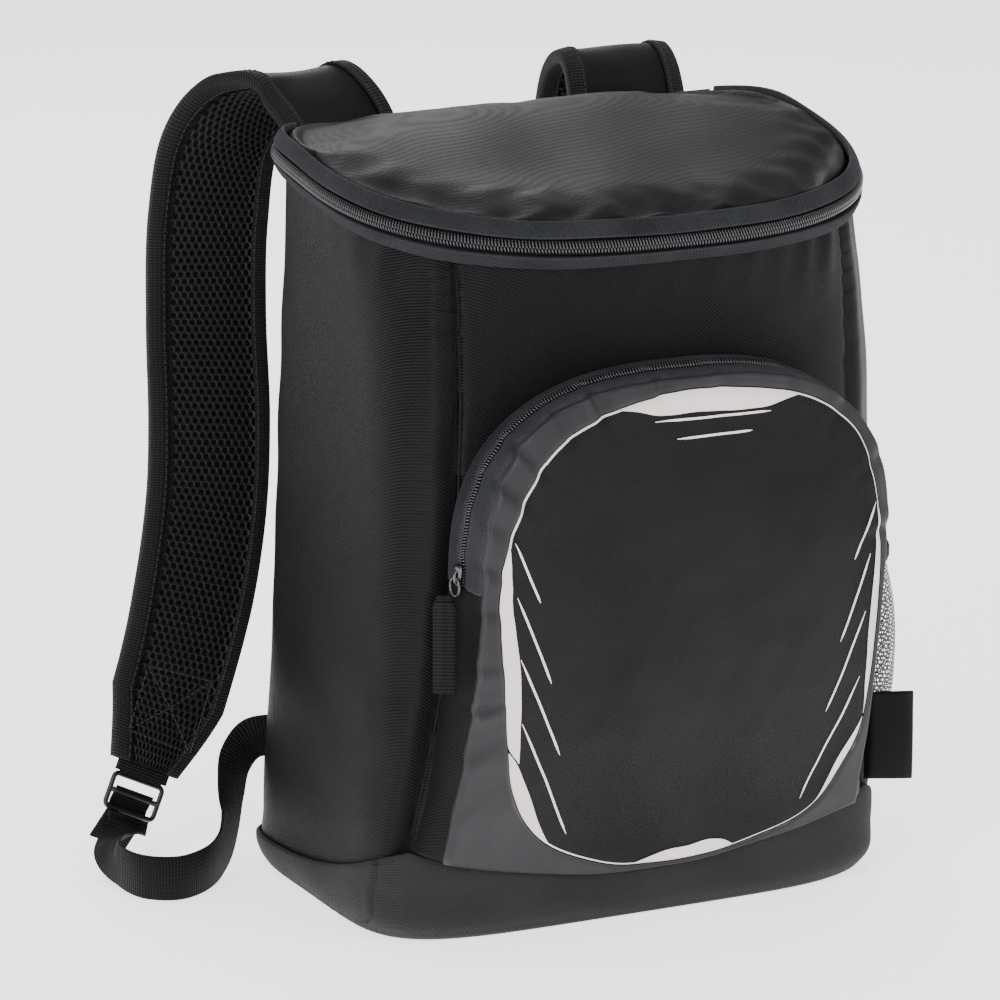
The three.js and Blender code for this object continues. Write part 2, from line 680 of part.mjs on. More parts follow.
const outerTape = pocketStrip(ARCH, () => 0, (wide) => coilStart(wide) - GAP, 0, CLOTH);
const pocketCoil = pocketStrip(
  ARCH,
  coilStart,
  (wide) => coilStart(wide) + POCKET_ZIP_COIL,
  POCKET_ZIP_PROUD,
  CLOTH + POCKET_ZIP_PROUD,
);
const innerTape = pocketStrip(
  ARCH,
  (wide) => coilStart(wide) + POCKET_ZIP_COIL + GAP,
  (wide) => wide - SEAM_ROOM,
  0,
  CLOTH,
);
add("pocket_zip_tape_outer", trimmed(outerTape), "zip_tape");
add("pocket_zip_coil", trimmed(pocketCoil), "zip_teeth");
add("pocket_zip_tape_inner", trimmed(innerTape), "zip_tape");

for (const [name, side] of [["left", -1], ["right", 1]]) {
  const gusset = pocketStrip(legPlaces(side), () => 0, (wide) => wide - SEAM_ROOM, 0, CLOTH);
  add(`front_pocket_gusset_${name}`, trimmed(gusset), "body_twill");
}

// Outline of the face: up the left leg, over the arch, down the right leg, back along the foot
function faceOutline() {
  const left = legPlaces(-1).map(({ share }) => facePoint(-1, share));
  const arch = ARCH.map(({ side, share }) => facePoint(side, share));
  const right = legPlaces(1).map(({ share }) => facePoint(1, share));
  const foot = [];
  for (let i = 1; i < FOOT_STEPS; i += 1) {
    const x = mix(FACE_FOOT_HALF, -FACE_FOOT_HALF, i / FOOT_STEPS);
    const z = bandTop(x, -FRONT_REACH) + GAP;
    foot.push(new THREE.Vector3(x, pocketFront(z), z));
  }
  return [...left, ...arch, ...right, ...foot];
}

const FACE_MIDDLE = mix(BAND_FRONT_HEIGHT, FACE_TOP, 0.5);

function faceRing(outline, { out, crown }, inset) {
  return outline.map((edge) => {
    const z = mix(FACE_MIDDLE, edge.z, out);
    const y = mix(pocketFront(z), edge.y, out ** FACE_RIM_HOLD) - crown * FACE_CROWN + inset;
    return new THREE.Vector3(edge.x * out, y, z);
  });
}

function makeFace() {
  const outline = faceOutline();
  const outside = FACE_RINGS.map((row) => faceRing(outline, row, 0));
  const inside = FACE_RINGS.map((row) => faceRing(outline, row, CLOTH));
  return loft([...outside.reverse(), ...inside]);
}

add("front_pocket_face", trimmed(makeFace()), "pocket_cloth");

// Slider, ring and pull at the left end of the pocket's zip
function boxAt(middle, along, outward, size) {
  const side = outward.clone().cross(along).normalize();
  const geometry = new THREE.BoxGeometry(size.wide, size.thick, size.long);
  const turn = new THREE.Matrix4().makeBasis(side, outward, along);
  return geometry.applyMatrix4(turn.setPosition(middle));
}

function pocketFittings() {
  const [start, next] = pocketStations(ARCH);
  const along = next.sewn.clone().add(next.face).sub(start.sewn).sub(start.face).normalize();
  const across = start.across.clone().normalize();
  const outward = across.clone().cross(along).normalize();
  const onCoil = start.sewn.clone().addScaledVector(start.across, POCKET_ZIP_PLACE);
  const slider = onCoil.clone().addScaledVector(along, SLIDER_LENGTH / 2);
  slider.addScaledVector(outward, POCKET_ZIP_PROUD + GAP + SLIDER_THICK / 2);
  const size = { wide: SLIDER_WIDTH, thick: SLIDER_THICK, long: SLIDER_LENGTH };
  add("pocket_zip_slider", boxAt(slider, along, outward, size), "slider_metal");

  const ringOuter = RING_RADIUS + RING_WIRE;
  const ring = slider.clone().addScaledVector(along, -SLIDER_LENGTH / 2 - GAP - ringOuter);
  const hoop = new THREE.TorusGeometry(RING_RADIUS, RING_WIRE, RING_SIDES, RING_STEPS);
  const facing = new THREE.Matrix4().makeBasis(across, along, outward);
  add("pocket_zip_ring", hoop.applyMatrix4(facing.setPosition(ring)), "slider_metal");

  const down = new THREE.Vector3(0, 0, 1);
  const pull = ring.clone().addScaledVector(down, -ringOuter - GAP - PULL_LENGTH / 2);
  const turn = radians(PULL_TURN);
  const width = new THREE.Vector3(Math.cos(turn), -Math.sin(turn), 0);
  const face = down.clone().cross(width).negate();
  pull.addScaledVector(outward, PULL_WIDTH / 2);
  const pullSize = { wide: PULL_WIDTH, thick: PULL_THICK, long: PULL_LENGTH };
  add("pocket_zip_pull", boxAt(pull, down, face, pullSize), "webbing");
}

pocketFittings();

// Slider of the lid's zip, parked at its hidden end
function makeLidSlider() {
  const angle = radians(ZIP_TO - 2 * HALF_TURN + LID_SLIDER_BACK);
  const { x, y } = planPoint(1, angle, LID_COIL_OUT + GAP + LID_SLIDER_PROUD / 2);
  const ahead = planPoint(1, angle + radians(1), LID_ZIP_PROUD);
  const behind = planPoint(1, angle - radians(1), LID_ZIP_PROUD);
  const along = new THREE.Vector3(behind.x - ahead.x, behind.y - ahead.y, 0).normalize();
  const up = new THREE.Vector3(0, 0, 1);
  const outward = along.clone().cross(up).normalize();
  const size = { wide: LID_SLIDER_HEIGHT, thick: LID_SLIDER_PROUD, long: LID_SLIDER_LENGTH };
  return boxAt(new THREE.Vector3(x, y, rimHeight(y)), along, outward, size);
}

add("lid_zip_slider", makeLidSlider(), "slider_metal");

// Net side pocket: one curved sheet, cut through between its strands
function netPoint(along, up, lift) {
  const low = bandTop(HALF_WIDTH, mix(-NET_FRONT * FRONT_REACH, NET_BACK * BACK_REACH, along));
  const z = mix(low + NET_STRAND, NET_HEIGHT, up);
  const section = rowAt(BODY_SECTIONS, "up", z / RIM_HEIGHT);
  const y = mix(-NET_FRONT * section.front * FRONT_REACH, NET_BACK * BACK_REACH, along);
  const spread = 1 - Math.abs(2 * along - 1) ** NET_SPREAD;
  const out = NET_BULGE * spread * rowAt(NET_PROFILE, "up", up).full;
  return new THREE.Vector3(sideAt(y, z) + NET_SEAT + out + lift, y, z);
}

// Where the strands start and stop along one direction, as shares
function strandLines(count, strand) {
  const pitch = (1 - strand) / count;
  const lines = [];
  for (let i = 0; i <= count; i += 1) {
    lines.push(i * pitch, i * pitch + strand);
  }
  return lines;
}

function makeNet() {
  const width = NET_FRONT * FRONT_REACH + NET_BACK * BACK_REACH;
  const columns = strandLines(NET_COLUMNS, NET_STRAND / width);
  const rows = strandLines(NET_ROWS, NET_STRAND / (NET_HEIGHT - BAND_BACK_HEIGHT));
  const wide = columns.length;
  const layer = wide * rows.length;
  const corners = [0, NET_THICK].flatMap((lift) => {
    return rows.flatMap((up) => columns.map((along) => netPoint(along, up, lift)));
  });
  const open = (i, j) => i % 2 === 1 && j % 2 === 1;
  const solidCell = (i, j) => {
    const inside = i >= 0 && j >= 0 && i < wide - 1 && j < rows.length - 1;
    return inside && !open(i, j);
  };
  const faces = [];
  const quad = (a, b, c, d) => faces.push([a, b, c], [a, c, d]);
  for (let j = 0; j < rows.length - 1; j += 1) {
    for (let i = 0; i < wide - 1; i += 1) {
      if (solidCell(i, j)) {
        const a = j * wide + i;
        const b = a + 1;
        const c = b + wide;
        const d = a + wide;
        quad(layer + a, layer + b, layer + c, layer + d);
        quad(a, d, c, b);
        if (!solidCell(i, j - 1)) quad(a, b, layer + b, layer + a);
        if (!solidCell(i + 1, j)) quad(b, c, layer + c, layer + b);
        if (!solidCell(i, j + 1)) quad(c, d, layer + d, layer + c);
        if (!solidCell(i - 1, j)) quad(d, a, layer + a, layer + d);
      }
    }
  }
  return solid(corners, faces);
}

function makeHem() {
  const rings = [];
  for (let i = 0; i <= NET_COLUMNS; i += 1) {
    const low = netPoint(i / NET_COLUMNS, 1, 0);
    const base = low.z + GAP;
    rings.push([
      new THREE.Vector3(low.x, low.y, base),
      new THREE.Vector3(low.x + CLOTH, low.y, base),
      new THREE.Vector3(low.x + CLOTH, low.y, base + HEM_HEIGHT),
      new THREE.Vector3(low.x, low.y, base + HEM_HEIGHT),
    ]);
  }
  return loft(rings);
}

add("net_pocket", makeNet(), "net");
add("net_pocket_hem", trimmed(makeHem()), "webbing");

// Blank folded tag in the right front seam
function makeTag() {
  const z = TAG_FOOT + TAG_HEIGHT / 2;
  const x = POCKET_FOOT_HALF + CLOTH;
  const root = new THREE.Vector3(x, -frontAt(x, z), z);
  const turn = radians(TAG_TURN);
  const away = new THREE.Vector3(Math.cos(turn), -Math.sin(turn), 0);
  const face = new THREE.Vector3(-away.y, away.x, 0);
  const middle = root.clone().addScaledVector(away, TAG_LENGTH / 2);
  const size = { wide: TAG_HEIGHT, thick: TAG_THICK, long: TAG_LENGTH };
  return boxAt(middle, away, face, size);
}

add("side_tag", trimmed(makeTag()), "webbing");

// Frames along a curve. across: the wanted width direction at each place.
function framesAlong(points, steps, acrossAt) {
  const curve = new THREE.CatmullRomCurve3(points, false, "centripetal");
  const frames = [];
  for (let i = 0; i <= steps; i += 1) {
    const share = i / steps;
    const along = curve.getTangent(share);
    const across = acrossAt(share);
    across.addScaledVector(along, -across.dot(along)).normalize();
    const out = across.clone().cross(along).normalize();
    frames.push({ at: curve.getPoint(share), along, across, out, share });
  }
  return frames;
}

// A sweep of a section through frames. section: rows with wide and out, in millimetres.
function sweep(frames, sectionAt) {
  return loft(frames.map((frame) => {
    return sectionAt(frame).map(({ wide, out }) => {
      return frame.at.clone().addScaledVector(frame.across, wide).addScaledVector(frame.out, out);
    });
  }));
}

function strapFrames(table, side) {
  const points = table.map(({ out, bow, up }) => {
    return new THREE.Vector3(side * out * HALF_WIDTH, BACK_REACH + bow * STRAP_BOW, up * RIM_HEIGHT);
  });
  const keyed = table.map((row, i) => ({ ...row, place: i / (table.length - 1) }));
  const frames = framesAlong(points, STRAP_STEPS, (share) => {
    const turn = radians(-side * rowAt(keyed, "place", share).turn);
    return new THREE.Vector3(Math.cos(turn), Math.sin(turn), 0);
  });
  return frames.map((frame) => {
    return { ...frame, half: (rowAt(keyed, "place", frame.share).wide * STRAP_WIDTH) / 2 };
  });
}

// Half sections of the strap. Its outer face is crowned, its inner face nearly flat.
const PAD_INSET = BINDING_THICK + GAP;

function padSection({ half }) {
  const edge = half - PAD_INSET;
  const shoulder = half - BINDING_WIDTH;
  const inner = -PAD_THICK / 2 + GAP;
  return [
    { wide: -edge, out: -PAD_EDGE / 2 },
    { wide: -shoulder, out: inner },
    { wide: shoulder, out: inner },
    { wide: edge, out: -PAD_EDGE / 2 },
    { wide: edge, out: PAD_EDGE / 2 },
    { wide: shoulder, out: -inner },
    { wide: 0, out: PAD_THICK / 2 + GAP },
    { wide: -shoulder, out: -inner },
    { wide: -edge, out: PAD_EDGE / 2 },
  ];
}

function meshSection({ half }) {
  const edge = half - BINDING_WIDTH - GAP;
  const seat = -PAD_THICK / 2;
  return [
    { wide: edge, out: seat },
    { wide: edge, out: seat - MESH_THICK },
    { wide: 0, out: seat - MESH_THICK - MESH_CROWN },
    { wide: -edge, out: seat - MESH_THICK },
    { wide: -edge, out: seat },
  ];
}

function bindingSection({ half }, side) {
  const lip = half - BINDING_WIDTH;
  const inside = PAD_THICK / 2 + GAP / 2;
  const low = PAD_EDGE / 2 + BINDING_LOOSE * GAP;
  const section = [
    { wide: lip, out: inside + BINDING_THICK },
    { wide: half, out: low + BINDING_THICK / 2 },
    { wide: half, out: -low - BINDING_THICK / 2 },
    { wide: lip, out: -inside - BINDING_THICK },
    { wide: lip, out: -inside },
    { wide: half - BINDING_THICK, out: -low },
    { wide: half - BINDING_THICK, out: low },
    { wide: lip, out: inside },
  ].map(({ wide, out }) => ({ wide: side * wide, out }));
  return side < 0 ? section.reverse() : section;
}

function rectangle(width, thick) {
  return [
    { wide: -width / 2, out: -thick / 2 },
    { wide: width / 2, out: -thick / 2 },
    { wide: width / 2, out: thick / 2 },
    { wide: -width / 2, out: thick / 2 },
  ];
}

// A frame carried on past the end of a strap, and shifted towards its outer face
function framePast(end, distance, shift = 0) {
  const at = end.at.clone().addScaledVector(end.along, distance);
  return { ...end, at: at.addScaledVector(end.out, shift) };
}

// Flat three-bar buckle, drawn across and along, then turned into the strap's plane
function makeBuckle(end, distance) {
  const half = BUCKLE_WIDTH / 2;
  const outline = new THREE.Shape();
  outline.moveTo(-half, 0);
  outline.lineTo(half, 0);
  outline.lineTo(half, BUCKLE_LENGTH);
  outline.lineTo(-half, BUCKLE_LENGTH);
  outline.closePath();
  const slot = (BUCKLE_LENGTH - 3 * BUCKLE_BAR) / 2;
  for (const low of [BUCKLE_BAR, 2 * BUCKLE_BAR + slot]) {
    const hole = new THREE.Path();
    hole.moveTo(-half + BUCKLE_BAR, low);
    hole.lineTo(-half + BUCKLE_BAR, low + slot);
    hole.lineTo(half - BUCKLE_BAR, low + slot);
    hole.lineTo(half - BUCKLE_BAR, low);
    hole.closePath();
    outline.holes.push(hole);
  }
  const geometry = new THREE.ExtrudeGeometry(outline, { depth: BUCKLE_THICK, bevelEnabled: false });
  geometry.translate(0, 0, -BUCKLE_THICK / 2);
  const normal = end.across.clone().cross(end.along);
  const turn = new THREE.Matrix4().makeBasis(end.across, end.along, normal);
  const place = end.at.clone().addScaledVector(end.along, distance);
  return geometry.applyMatrix4(turn.setPosition(place));
}

function webbingFrames(table, side, starts) {
  const points = table.slice(1).map(({ out, bow, lift }) => {
    const x = side * out * HALF_WIDTH;
    return new THREE.Vector3(x, BACK_REACH + bow * STRAP_BOW, lift * WEBBING_WIDTH);
  });
  const rows = [table[0], ...table];
  const keyed = rows.map((row, i) => ({ ...row, place: i / (rows.length - 1) }));
  return framesAlong([...starts, ...points], WEBBING_STEPS, (share) => {
    const { aside, ahead, above } = rowAt(keyed, "place", share);
    return new THREE.Vector3(side * aside, -ahead, above);
  });
}

// behind: 1 where the free tail hangs behind the loop, -1 where it hangs in front of it
function addStrap(name, side, behind, route, loop) {
  const frames = strapFrames(route, side);
  add(`strap_pad_${name}`, sweep(frames, padSection), "strap_satin");
  add(`strap_mesh_${name}`, sweep(frames, meshSection), "spacer_mesh");
  for (const [edge, way] of [["inner", -side], ["outer", side]]) {
    const binding = sweep(frames, (frame) => bindingSection(frame, way));
    add(`strap_binding_${edge}_${name}`, binding, "webbing");
  }
  const end = frames.at(-1);
  const tab = [framePast(end, GAP), framePast(end, TAB_LENGTH)];
  add(`strap_tab_${name}`, sweep(tab, () => rectangle(TAB_WIDTH, TAB_THICK)), "webbing");
  const buckleStart = TAB_LENGTH + GAP;
  add(`strap_buckle_${name}`, makeBuckle(end, buckleStart), "slider_metal");
  const below = buckleStart + BUCKLE_LENGTH + GAP;
  const layer = (behind * TAIL_SEAT * WEBBING_THICK) / 2;
  const flat = () => rectangle(WEBBING_WIDTH, WEBBING_THICK);
  const tailEnd = framePast(end, below + TAIL_LENGTH, layer + behind * TAIL_LEAN);
  const tail = [framePast(end, below, layer), tailEnd];
  add(`strap_tail_${name}`, sweep(tail, flat), "webbing");
  const starts = [below, below + LOOP_STRAIGHT].map((reach) => framePast(end, reach, -layer).at);
  add(`strap_webbing_${name}`, trimmed(sweep(webbingFrames(loop, side, starts), flat)), "webbing");
}

addStrap("left", -1, 1, LEFT_STRAP, LEFT_WEBBING);
addStrap("right", 1, -1, RIGHT_STRAP, RIGHT_WEBBING);

export default bag;
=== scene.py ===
# %% [markdown]
# ## A soft cooler backpack, piece by piece
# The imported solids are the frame. They say where each piece of the bag is and how big it is.
# Everything here is cloth, foam, webbing or zip, so nearly every solid gets a softer piece over
# it: the same place and size, with folds, seams and weave that a plain solid can't hold.

# %% Load the frame and measure it
import math

import bmesh
import bpy
import numpy as np
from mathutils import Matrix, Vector


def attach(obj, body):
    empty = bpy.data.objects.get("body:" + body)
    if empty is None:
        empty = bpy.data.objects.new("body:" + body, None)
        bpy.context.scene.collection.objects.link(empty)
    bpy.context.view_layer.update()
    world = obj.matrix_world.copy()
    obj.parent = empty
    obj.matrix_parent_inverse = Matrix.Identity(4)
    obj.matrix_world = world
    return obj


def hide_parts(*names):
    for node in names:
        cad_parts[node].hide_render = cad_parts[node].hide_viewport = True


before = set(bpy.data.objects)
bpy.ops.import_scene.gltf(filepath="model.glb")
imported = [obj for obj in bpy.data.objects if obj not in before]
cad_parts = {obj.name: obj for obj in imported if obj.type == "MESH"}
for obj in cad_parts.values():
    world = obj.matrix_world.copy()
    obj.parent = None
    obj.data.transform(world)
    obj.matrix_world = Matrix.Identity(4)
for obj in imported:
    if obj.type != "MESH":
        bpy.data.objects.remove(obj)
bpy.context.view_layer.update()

# %% [markdown]
# ## The camera
# The photograph was taken with a long lens from the front left, a little above the lid: the
# edges of the bag hardly converge. A camera 3 m away with a 197 mm lens gives that look. It
# turns round a point just beside the middle of the bag, so that both straps are in the frame.

# %% Camera at the photograph's angle
MM = 0.001
CAMERA_TURN = math.radians(-25.8)
CAMERA_RISE = math.radians(14.5)
CAMERA_AWAY = 3.0
LOOK_AT = Vector((-39.7, 0.0, 214.2)) * MM

towards = Vector((
    math.sin(CAMERA_TURN) * math.cos(CAMERA_RISE),
    -math.cos(CAMERA_TURN) * math.cos(CAMERA_RISE),
    math.sin(CAMERA_RISE),
))
camera = bpy.data.objects.new("camera", bpy.data.cameras.new("camera"))
camera.location = LOOK_AT + towards * CAMERA_AWAY
camera.rotation_euler = (-towards).to_track_quat("-Z", "Y").to_euler()
camera.data.sensor_width = 36.0
camera.data.lens = 197.06
camera.data.clip_end = 50.0
bpy.context.scene.collection.objects.link(camera)
bpy.context.scene.camera = camera
print("camera at", [round(v, 3) for v in camera.location])

# %% [markdown]
# ## The studio
# The bag is black, so it is the light that draws it. A product photographer lights black cloth
# with large soft panels, because their wide reflections show the sheen of the weave and the
# roll of each seam. One big panel stands on the front left, one on the right for the bulge of
# the pocket, one hangs overhead for the lid, and a fourth stands behind for the back panel. The
# floor and the room are plain and pale. The floor glows a little, as a lit paper sweep does, so
# that it stays pale next to a black bag.

# %% Floor, room and soft panels
def principled(name):
    material = bpy.data.materials.new(name)
    material.use_nodes = True
    return material, material.node_tree, material.node_tree.nodes["Principled BSDF"]


def studio_panel(name, place, size, power):
    light = bpy.data.lights.new(name, "AREA")
    light.shape = "RECTANGLE"
    light.size, light.size_y = size
    light.energy = power
    panel = bpy.data.objects.new(name, light)
    panel.location = place
    panel.rotation_euler = (LOOK_AT - Vector(place)).to_track_quat("-Z", "Y").to_euler()
    bpy.context.scene.collection.objects.link(panel)
    return panel


ROOM_LIGHT = 0.6
FLOOR_GLOW = 1.6
FLOOR_REACH = 12.0

room = bpy.data.worlds.new("room")
room.use_nodes = True
room.node_tree.nodes["Background"].inputs["Color"].default_value = (1.0, 1.0, 1.0, 1.0)
room.node_tree.nodes["Background"].inputs["Strength"].default_value = ROOM_LIGHT
bpy.context.scene.world = room

floor_mesh = bpy.data.meshes.new("floor")
floor_corners = [(x * FLOOR_REACH, y * FLOOR_REACH, 0) for x, y in ((-1, -1), (1, -1), (1, 1), (-1, 1))]
floor_mesh.from_pydata(floor_corners, [], [(0, 1, 2, 3)])
floor = bpy.data.objects.new("floor", floor_mesh)
bpy.context.scene.collection.objects.link(floor)
floor_paint, _, floor_shader = principled("pale_floor")
floor_shader.inputs["Base Color"].default_value = (0.90, 0.90, 0.90, 1.0)
floor_shader.inputs["Emission Color"].default_value = (1.0, 1.0, 1.0, 1.0)
floor_shader.inputs["Emission Strength"].default_value = FLOOR_GLOW
floor_shader.inputs["Roughness"].default_value = 0.6
floor_mesh.materials.append(floor_paint)

panels = [
    studio_panel("panel_left", (-2.2, -1.6, 1.5), (1.4, 2.0), 62.0),
    studio_panel("panel_right", (1.7, -2.2, 1.3), (1.2, 1.8), 38.0),
    studio_panel("panel_top", (0.1, 0.2, 2.4), (1.8, 1.4), 24.0),
    studio_panel("panel_back", (0.3, 2.4, 1.4), (2.0, 1.2), 20.0),
]
print("soft panels:", len(panels))

# %% [markdown]
# ## The shape of the bag in numbers
# The body is a soft box. From above it is a rounded rectangle that changes on its way up: the
# front leans out, and the square corners of the foot turn into a broad oval at the zip. Such a
# form is easiest to keep as a few sections, each with its half width, its reach to the front
# and back, and how square its corners are. Everything sewn to the bag asks the same tables
# where the cloth is, so all the seams meet.

# %% Sections of the body
HALF_WIDTH = 0.153
FRONT_REACH = 0.126
BACK_REACH = 0.097
RIM_HEIGHT = 0.403
RIM_TILT = 0.164
RIM_BACK_DROP = 0.020
BODY_WALL = 0.006
CLOTH = 0.002
GAP = 0.0003

BODY_SECTIONS = {
    "up": (0.0, 0.02, 0.08, 0.25, 0.5, 0.75, 0.88, 1.0),
    "half": (0.975, 0.995, 1.0, 0.995, 0.99, 0.985, 0.98, 0.98),
    "front": (0.76, 0.785, 0.79, 0.83, 0.89, 0.945, 0.98, 1.03),
    "back": (0.975, 1.0, 1.0, 0.99, 0.98, 0.965, 0.955, 0.95),
    "front_square": (5.0, 6.0, 6.8, 6.0, 5.0, 4.2, 3.3, 2.5),
    "back_square": (7.0, 8.0, 8.0, 6.0, 4.6, 3.8, 3.5, 3.3),
}


def read(table, column, at):
    """A table's column at a place between its rows, on a smooth curve."""
    key = next(iter(table))
    xs, ys = np.array(table[key], float), np.array(table[column], float)
    at = np.clip(np.asarray(at, float), xs[0], xs[-1])
    slopes = np.gradient(ys, xs)
    i = np.clip(np.searchsorted(xs, at, side="right") - 1, 0, len(xs) - 2)
    width = xs[i + 1] - xs[i]
    t = (at - xs[i]) / width
    return (
        ys[i] * (1 + 2 * t) * (1 - t) ** 2
        + ys[i + 1] * t * t * (3 - 2 * t)
        + width * slopes[i] * t * (1 - t) ** 2
        - width * slopes[i + 1] * t * t * (1 - t)
    )


def mix(low, high, share):
    return low + (high - low) * share


def rim_height(y):
    return RIM_HEIGHT + RIM_TILT * y - RIM_BACK_DROP * np.maximum(0, y / BACK_REACH) ** 3


def half_of(ahead, up):
    """How square the corners are and how far the cloth reaches, on the front half or the back half."""
    square = np.where(
        ahead, read(BODY_SECTIONS, "front_square", up), read(BODY_SECTIONS, "back_square", up)
    )
    reach = np.where(
        ahead, read(BODY_SECTIONS, "front", up) * FRONT_REACH, read(BODY_SECTIONS, "back", up) * BACK_REACH
    )
    return square, reach


def plan(up, angle, grow=0.0):
    """Across and along of the cloth in a direction, at a share of the rim's height."""
    up, angle = np.broadcast_arrays(np.asarray(up, float), np.asarray(angle, float))
    across, along = np.cos(angle), np.sin(angle)
    square, reach = half_of(along < 0, up)
    radius = (np.abs(across) ** square + np.abs(along) ** square) ** (-1 / square)
    half = read(BODY_SECTIONS, "half", up) * HALF_WIDTH
    return (half + grow) * radius * across, (reach + grow) * radius * along


def front_at(x, z):
    """How far ahead of the middle the front panel is."""
    up = z / rim_height(-FRONT_REACH)
    square = read(BODY_SECTIONS, "front_square", up)
    share = np.minimum(1, np.abs(x) / (read(BODY_SECTIONS, "half", up) * HALF_WIDTH))
    return read(BODY_SECTIONS, "front", up) * FRONT_REACH * (1 - share**square) ** (1 / square)


def side_at(y, z):
    """How far to the side the side panel is."""
    up = z / rim_height(y)
    square, reach = half_of(y < 0, up)
    share = np.minimum(1, np.abs(y) / reach)
    return read(BODY_SECTIONS, "half", up) * HALF_WIDTH * (1 - share**square) ** (1 / square)


rim_ends = [round(float(rim_height(y)), 3) for y in (-FRONT_REACH, BACK_REACH)]
print("rim at the front and the back:", rim_ends)

# %% [markdown]
# ## From rows of points to cloth
# Each piece is drawn as rows of points and then skinned. That keeps the mesh in clean rows
# along the real grain of the cloth, which a weave and a fold both follow. Creases come from
# pushing the points along the surface's own direction before the skin is made.

# %% Helpers that turn rows of points into pieces
def outward(rows, closed):
    """Direction straight out of the surface at each point of a net of rows."""
    around = np.roll(rows, -1, 1) - np.roll(rows, 1, 1) if closed else np.gradient(rows, axis=1)
    upward = np.gradient(rows, axis=0)
    normal = np.cross(around, upward)
    return normal / np.maximum(np.linalg.norm(normal, axis=2, keepdims=True), 1e-12)


def new_object(name, points, faces, material):
    mesh = bpy.data.meshes.new(name)
    mesh.from_pydata([tuple(p) for p in points], [], faces)
    mesh.materials.append(material)
    mesh.update()
    made = bpy.data.objects.new(name, mesh)
    bpy.context.scene.collection.objects.link(made)
    return made


def rounded_off(piece):
    """Shades the piece as a soft surface, without facets."""
    piece.data.polygons.foreach_set("use_smooth", [True] * len(piece.data.polygons))
    return piece


def skin(name, rows, material, closed=False, cap_start=False, cap_end=False):
    """A mesh over rows of points. closed joins the end of each row to its start."""
    rows = np.asarray(rows, float)
    count, per = rows.shape[:2]
    points = [tuple(p) for p in rows.reshape(-1, 3)]
    faces = []
    last = per if closed else per - 1
    for i in range(count - 1):
        for j in range(last):
            k = (j + 1) % per
            faces.append((i * per + j, i * per + k, (i + 1) * per + k, (i + 1) * per + j))
    for wanted, row, turned in ((cap_start, 0, True), (cap_end, count - 1, False)):
        if wanted:
            middle = len(points)
            points.append(tuple(rows[row].mean(axis=0)))
            for j in range(per):
                edge = (row * per + j, row * per + (j + 1) % per)
                faces.append((middle, edge[1], edge[0]) if turned else (middle, edge[0], edge[1]))
    return rounded_off(new_object(name, points, faces, material))


def rod(name, rows, material):
    """A closed section carried along a line, with both its ends shut."""
    return skin(name, rows, material, closed=True, cap_start=True, cap_end=True)


def thicken(piece, thickness):
    """Gives a single skin its cloth's thickness, on its inner side."""
    step = piece.modifiers.new("thickness", "SOLIDIFY")
    step.thickness = thickness
    step.offset = -1.0
    return piece


def place(piece, slot, *nodes):
    """Rides the piece on the bag and hides the solids that it stands for; slot is not used."""
    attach(piece, "root")
    if nodes:
        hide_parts(*nodes)
    return piece


RIPPLE_WAVES = 4


def ripple(a, b, size, seed):
    """A soft random swell between -1 and 1 over two lengths, about size metres from crest to crest."""
    dice = np.random.default_rng(seed)
    total = np.zeros(np.broadcast(a, b).shape)
    for _ in range(RIPPLE_WAVES):
        turn = dice.uniform(0, 2 * math.pi)
        stretch = dice.uniform(0.7, 1.4)
        wave = 2 * math.pi / (size * stretch)
        total = total + np.sin((a * math.cos(turn) + b * math.sin(turn)) * wave + dice.uniform(0, 6.28))
    return total / RIPPLE_WAVES


def fade(distance, width):
    """1 at a seam, falling softly to 0 away from it."""
    return np.exp(-((distance / width) ** 2))


print("helpers ready")

# %% [markdown]
# ## Black twill and its relatives
# Most of the bag is nylon twill: fine diagonal ribs that catch the light in a soft streak. A
# picture of cloth would blur when seen close, so the weave is made of waves: one set of ribs
# runs up to the right, a finer set crosses it, and both lift the surface by about a tenth of a
# millimetre. Slow noise changes the tone a little from place to place, as handled cloth does.
# The waves use the bag's own coordinates, so the ribs stay the same size on every piece.

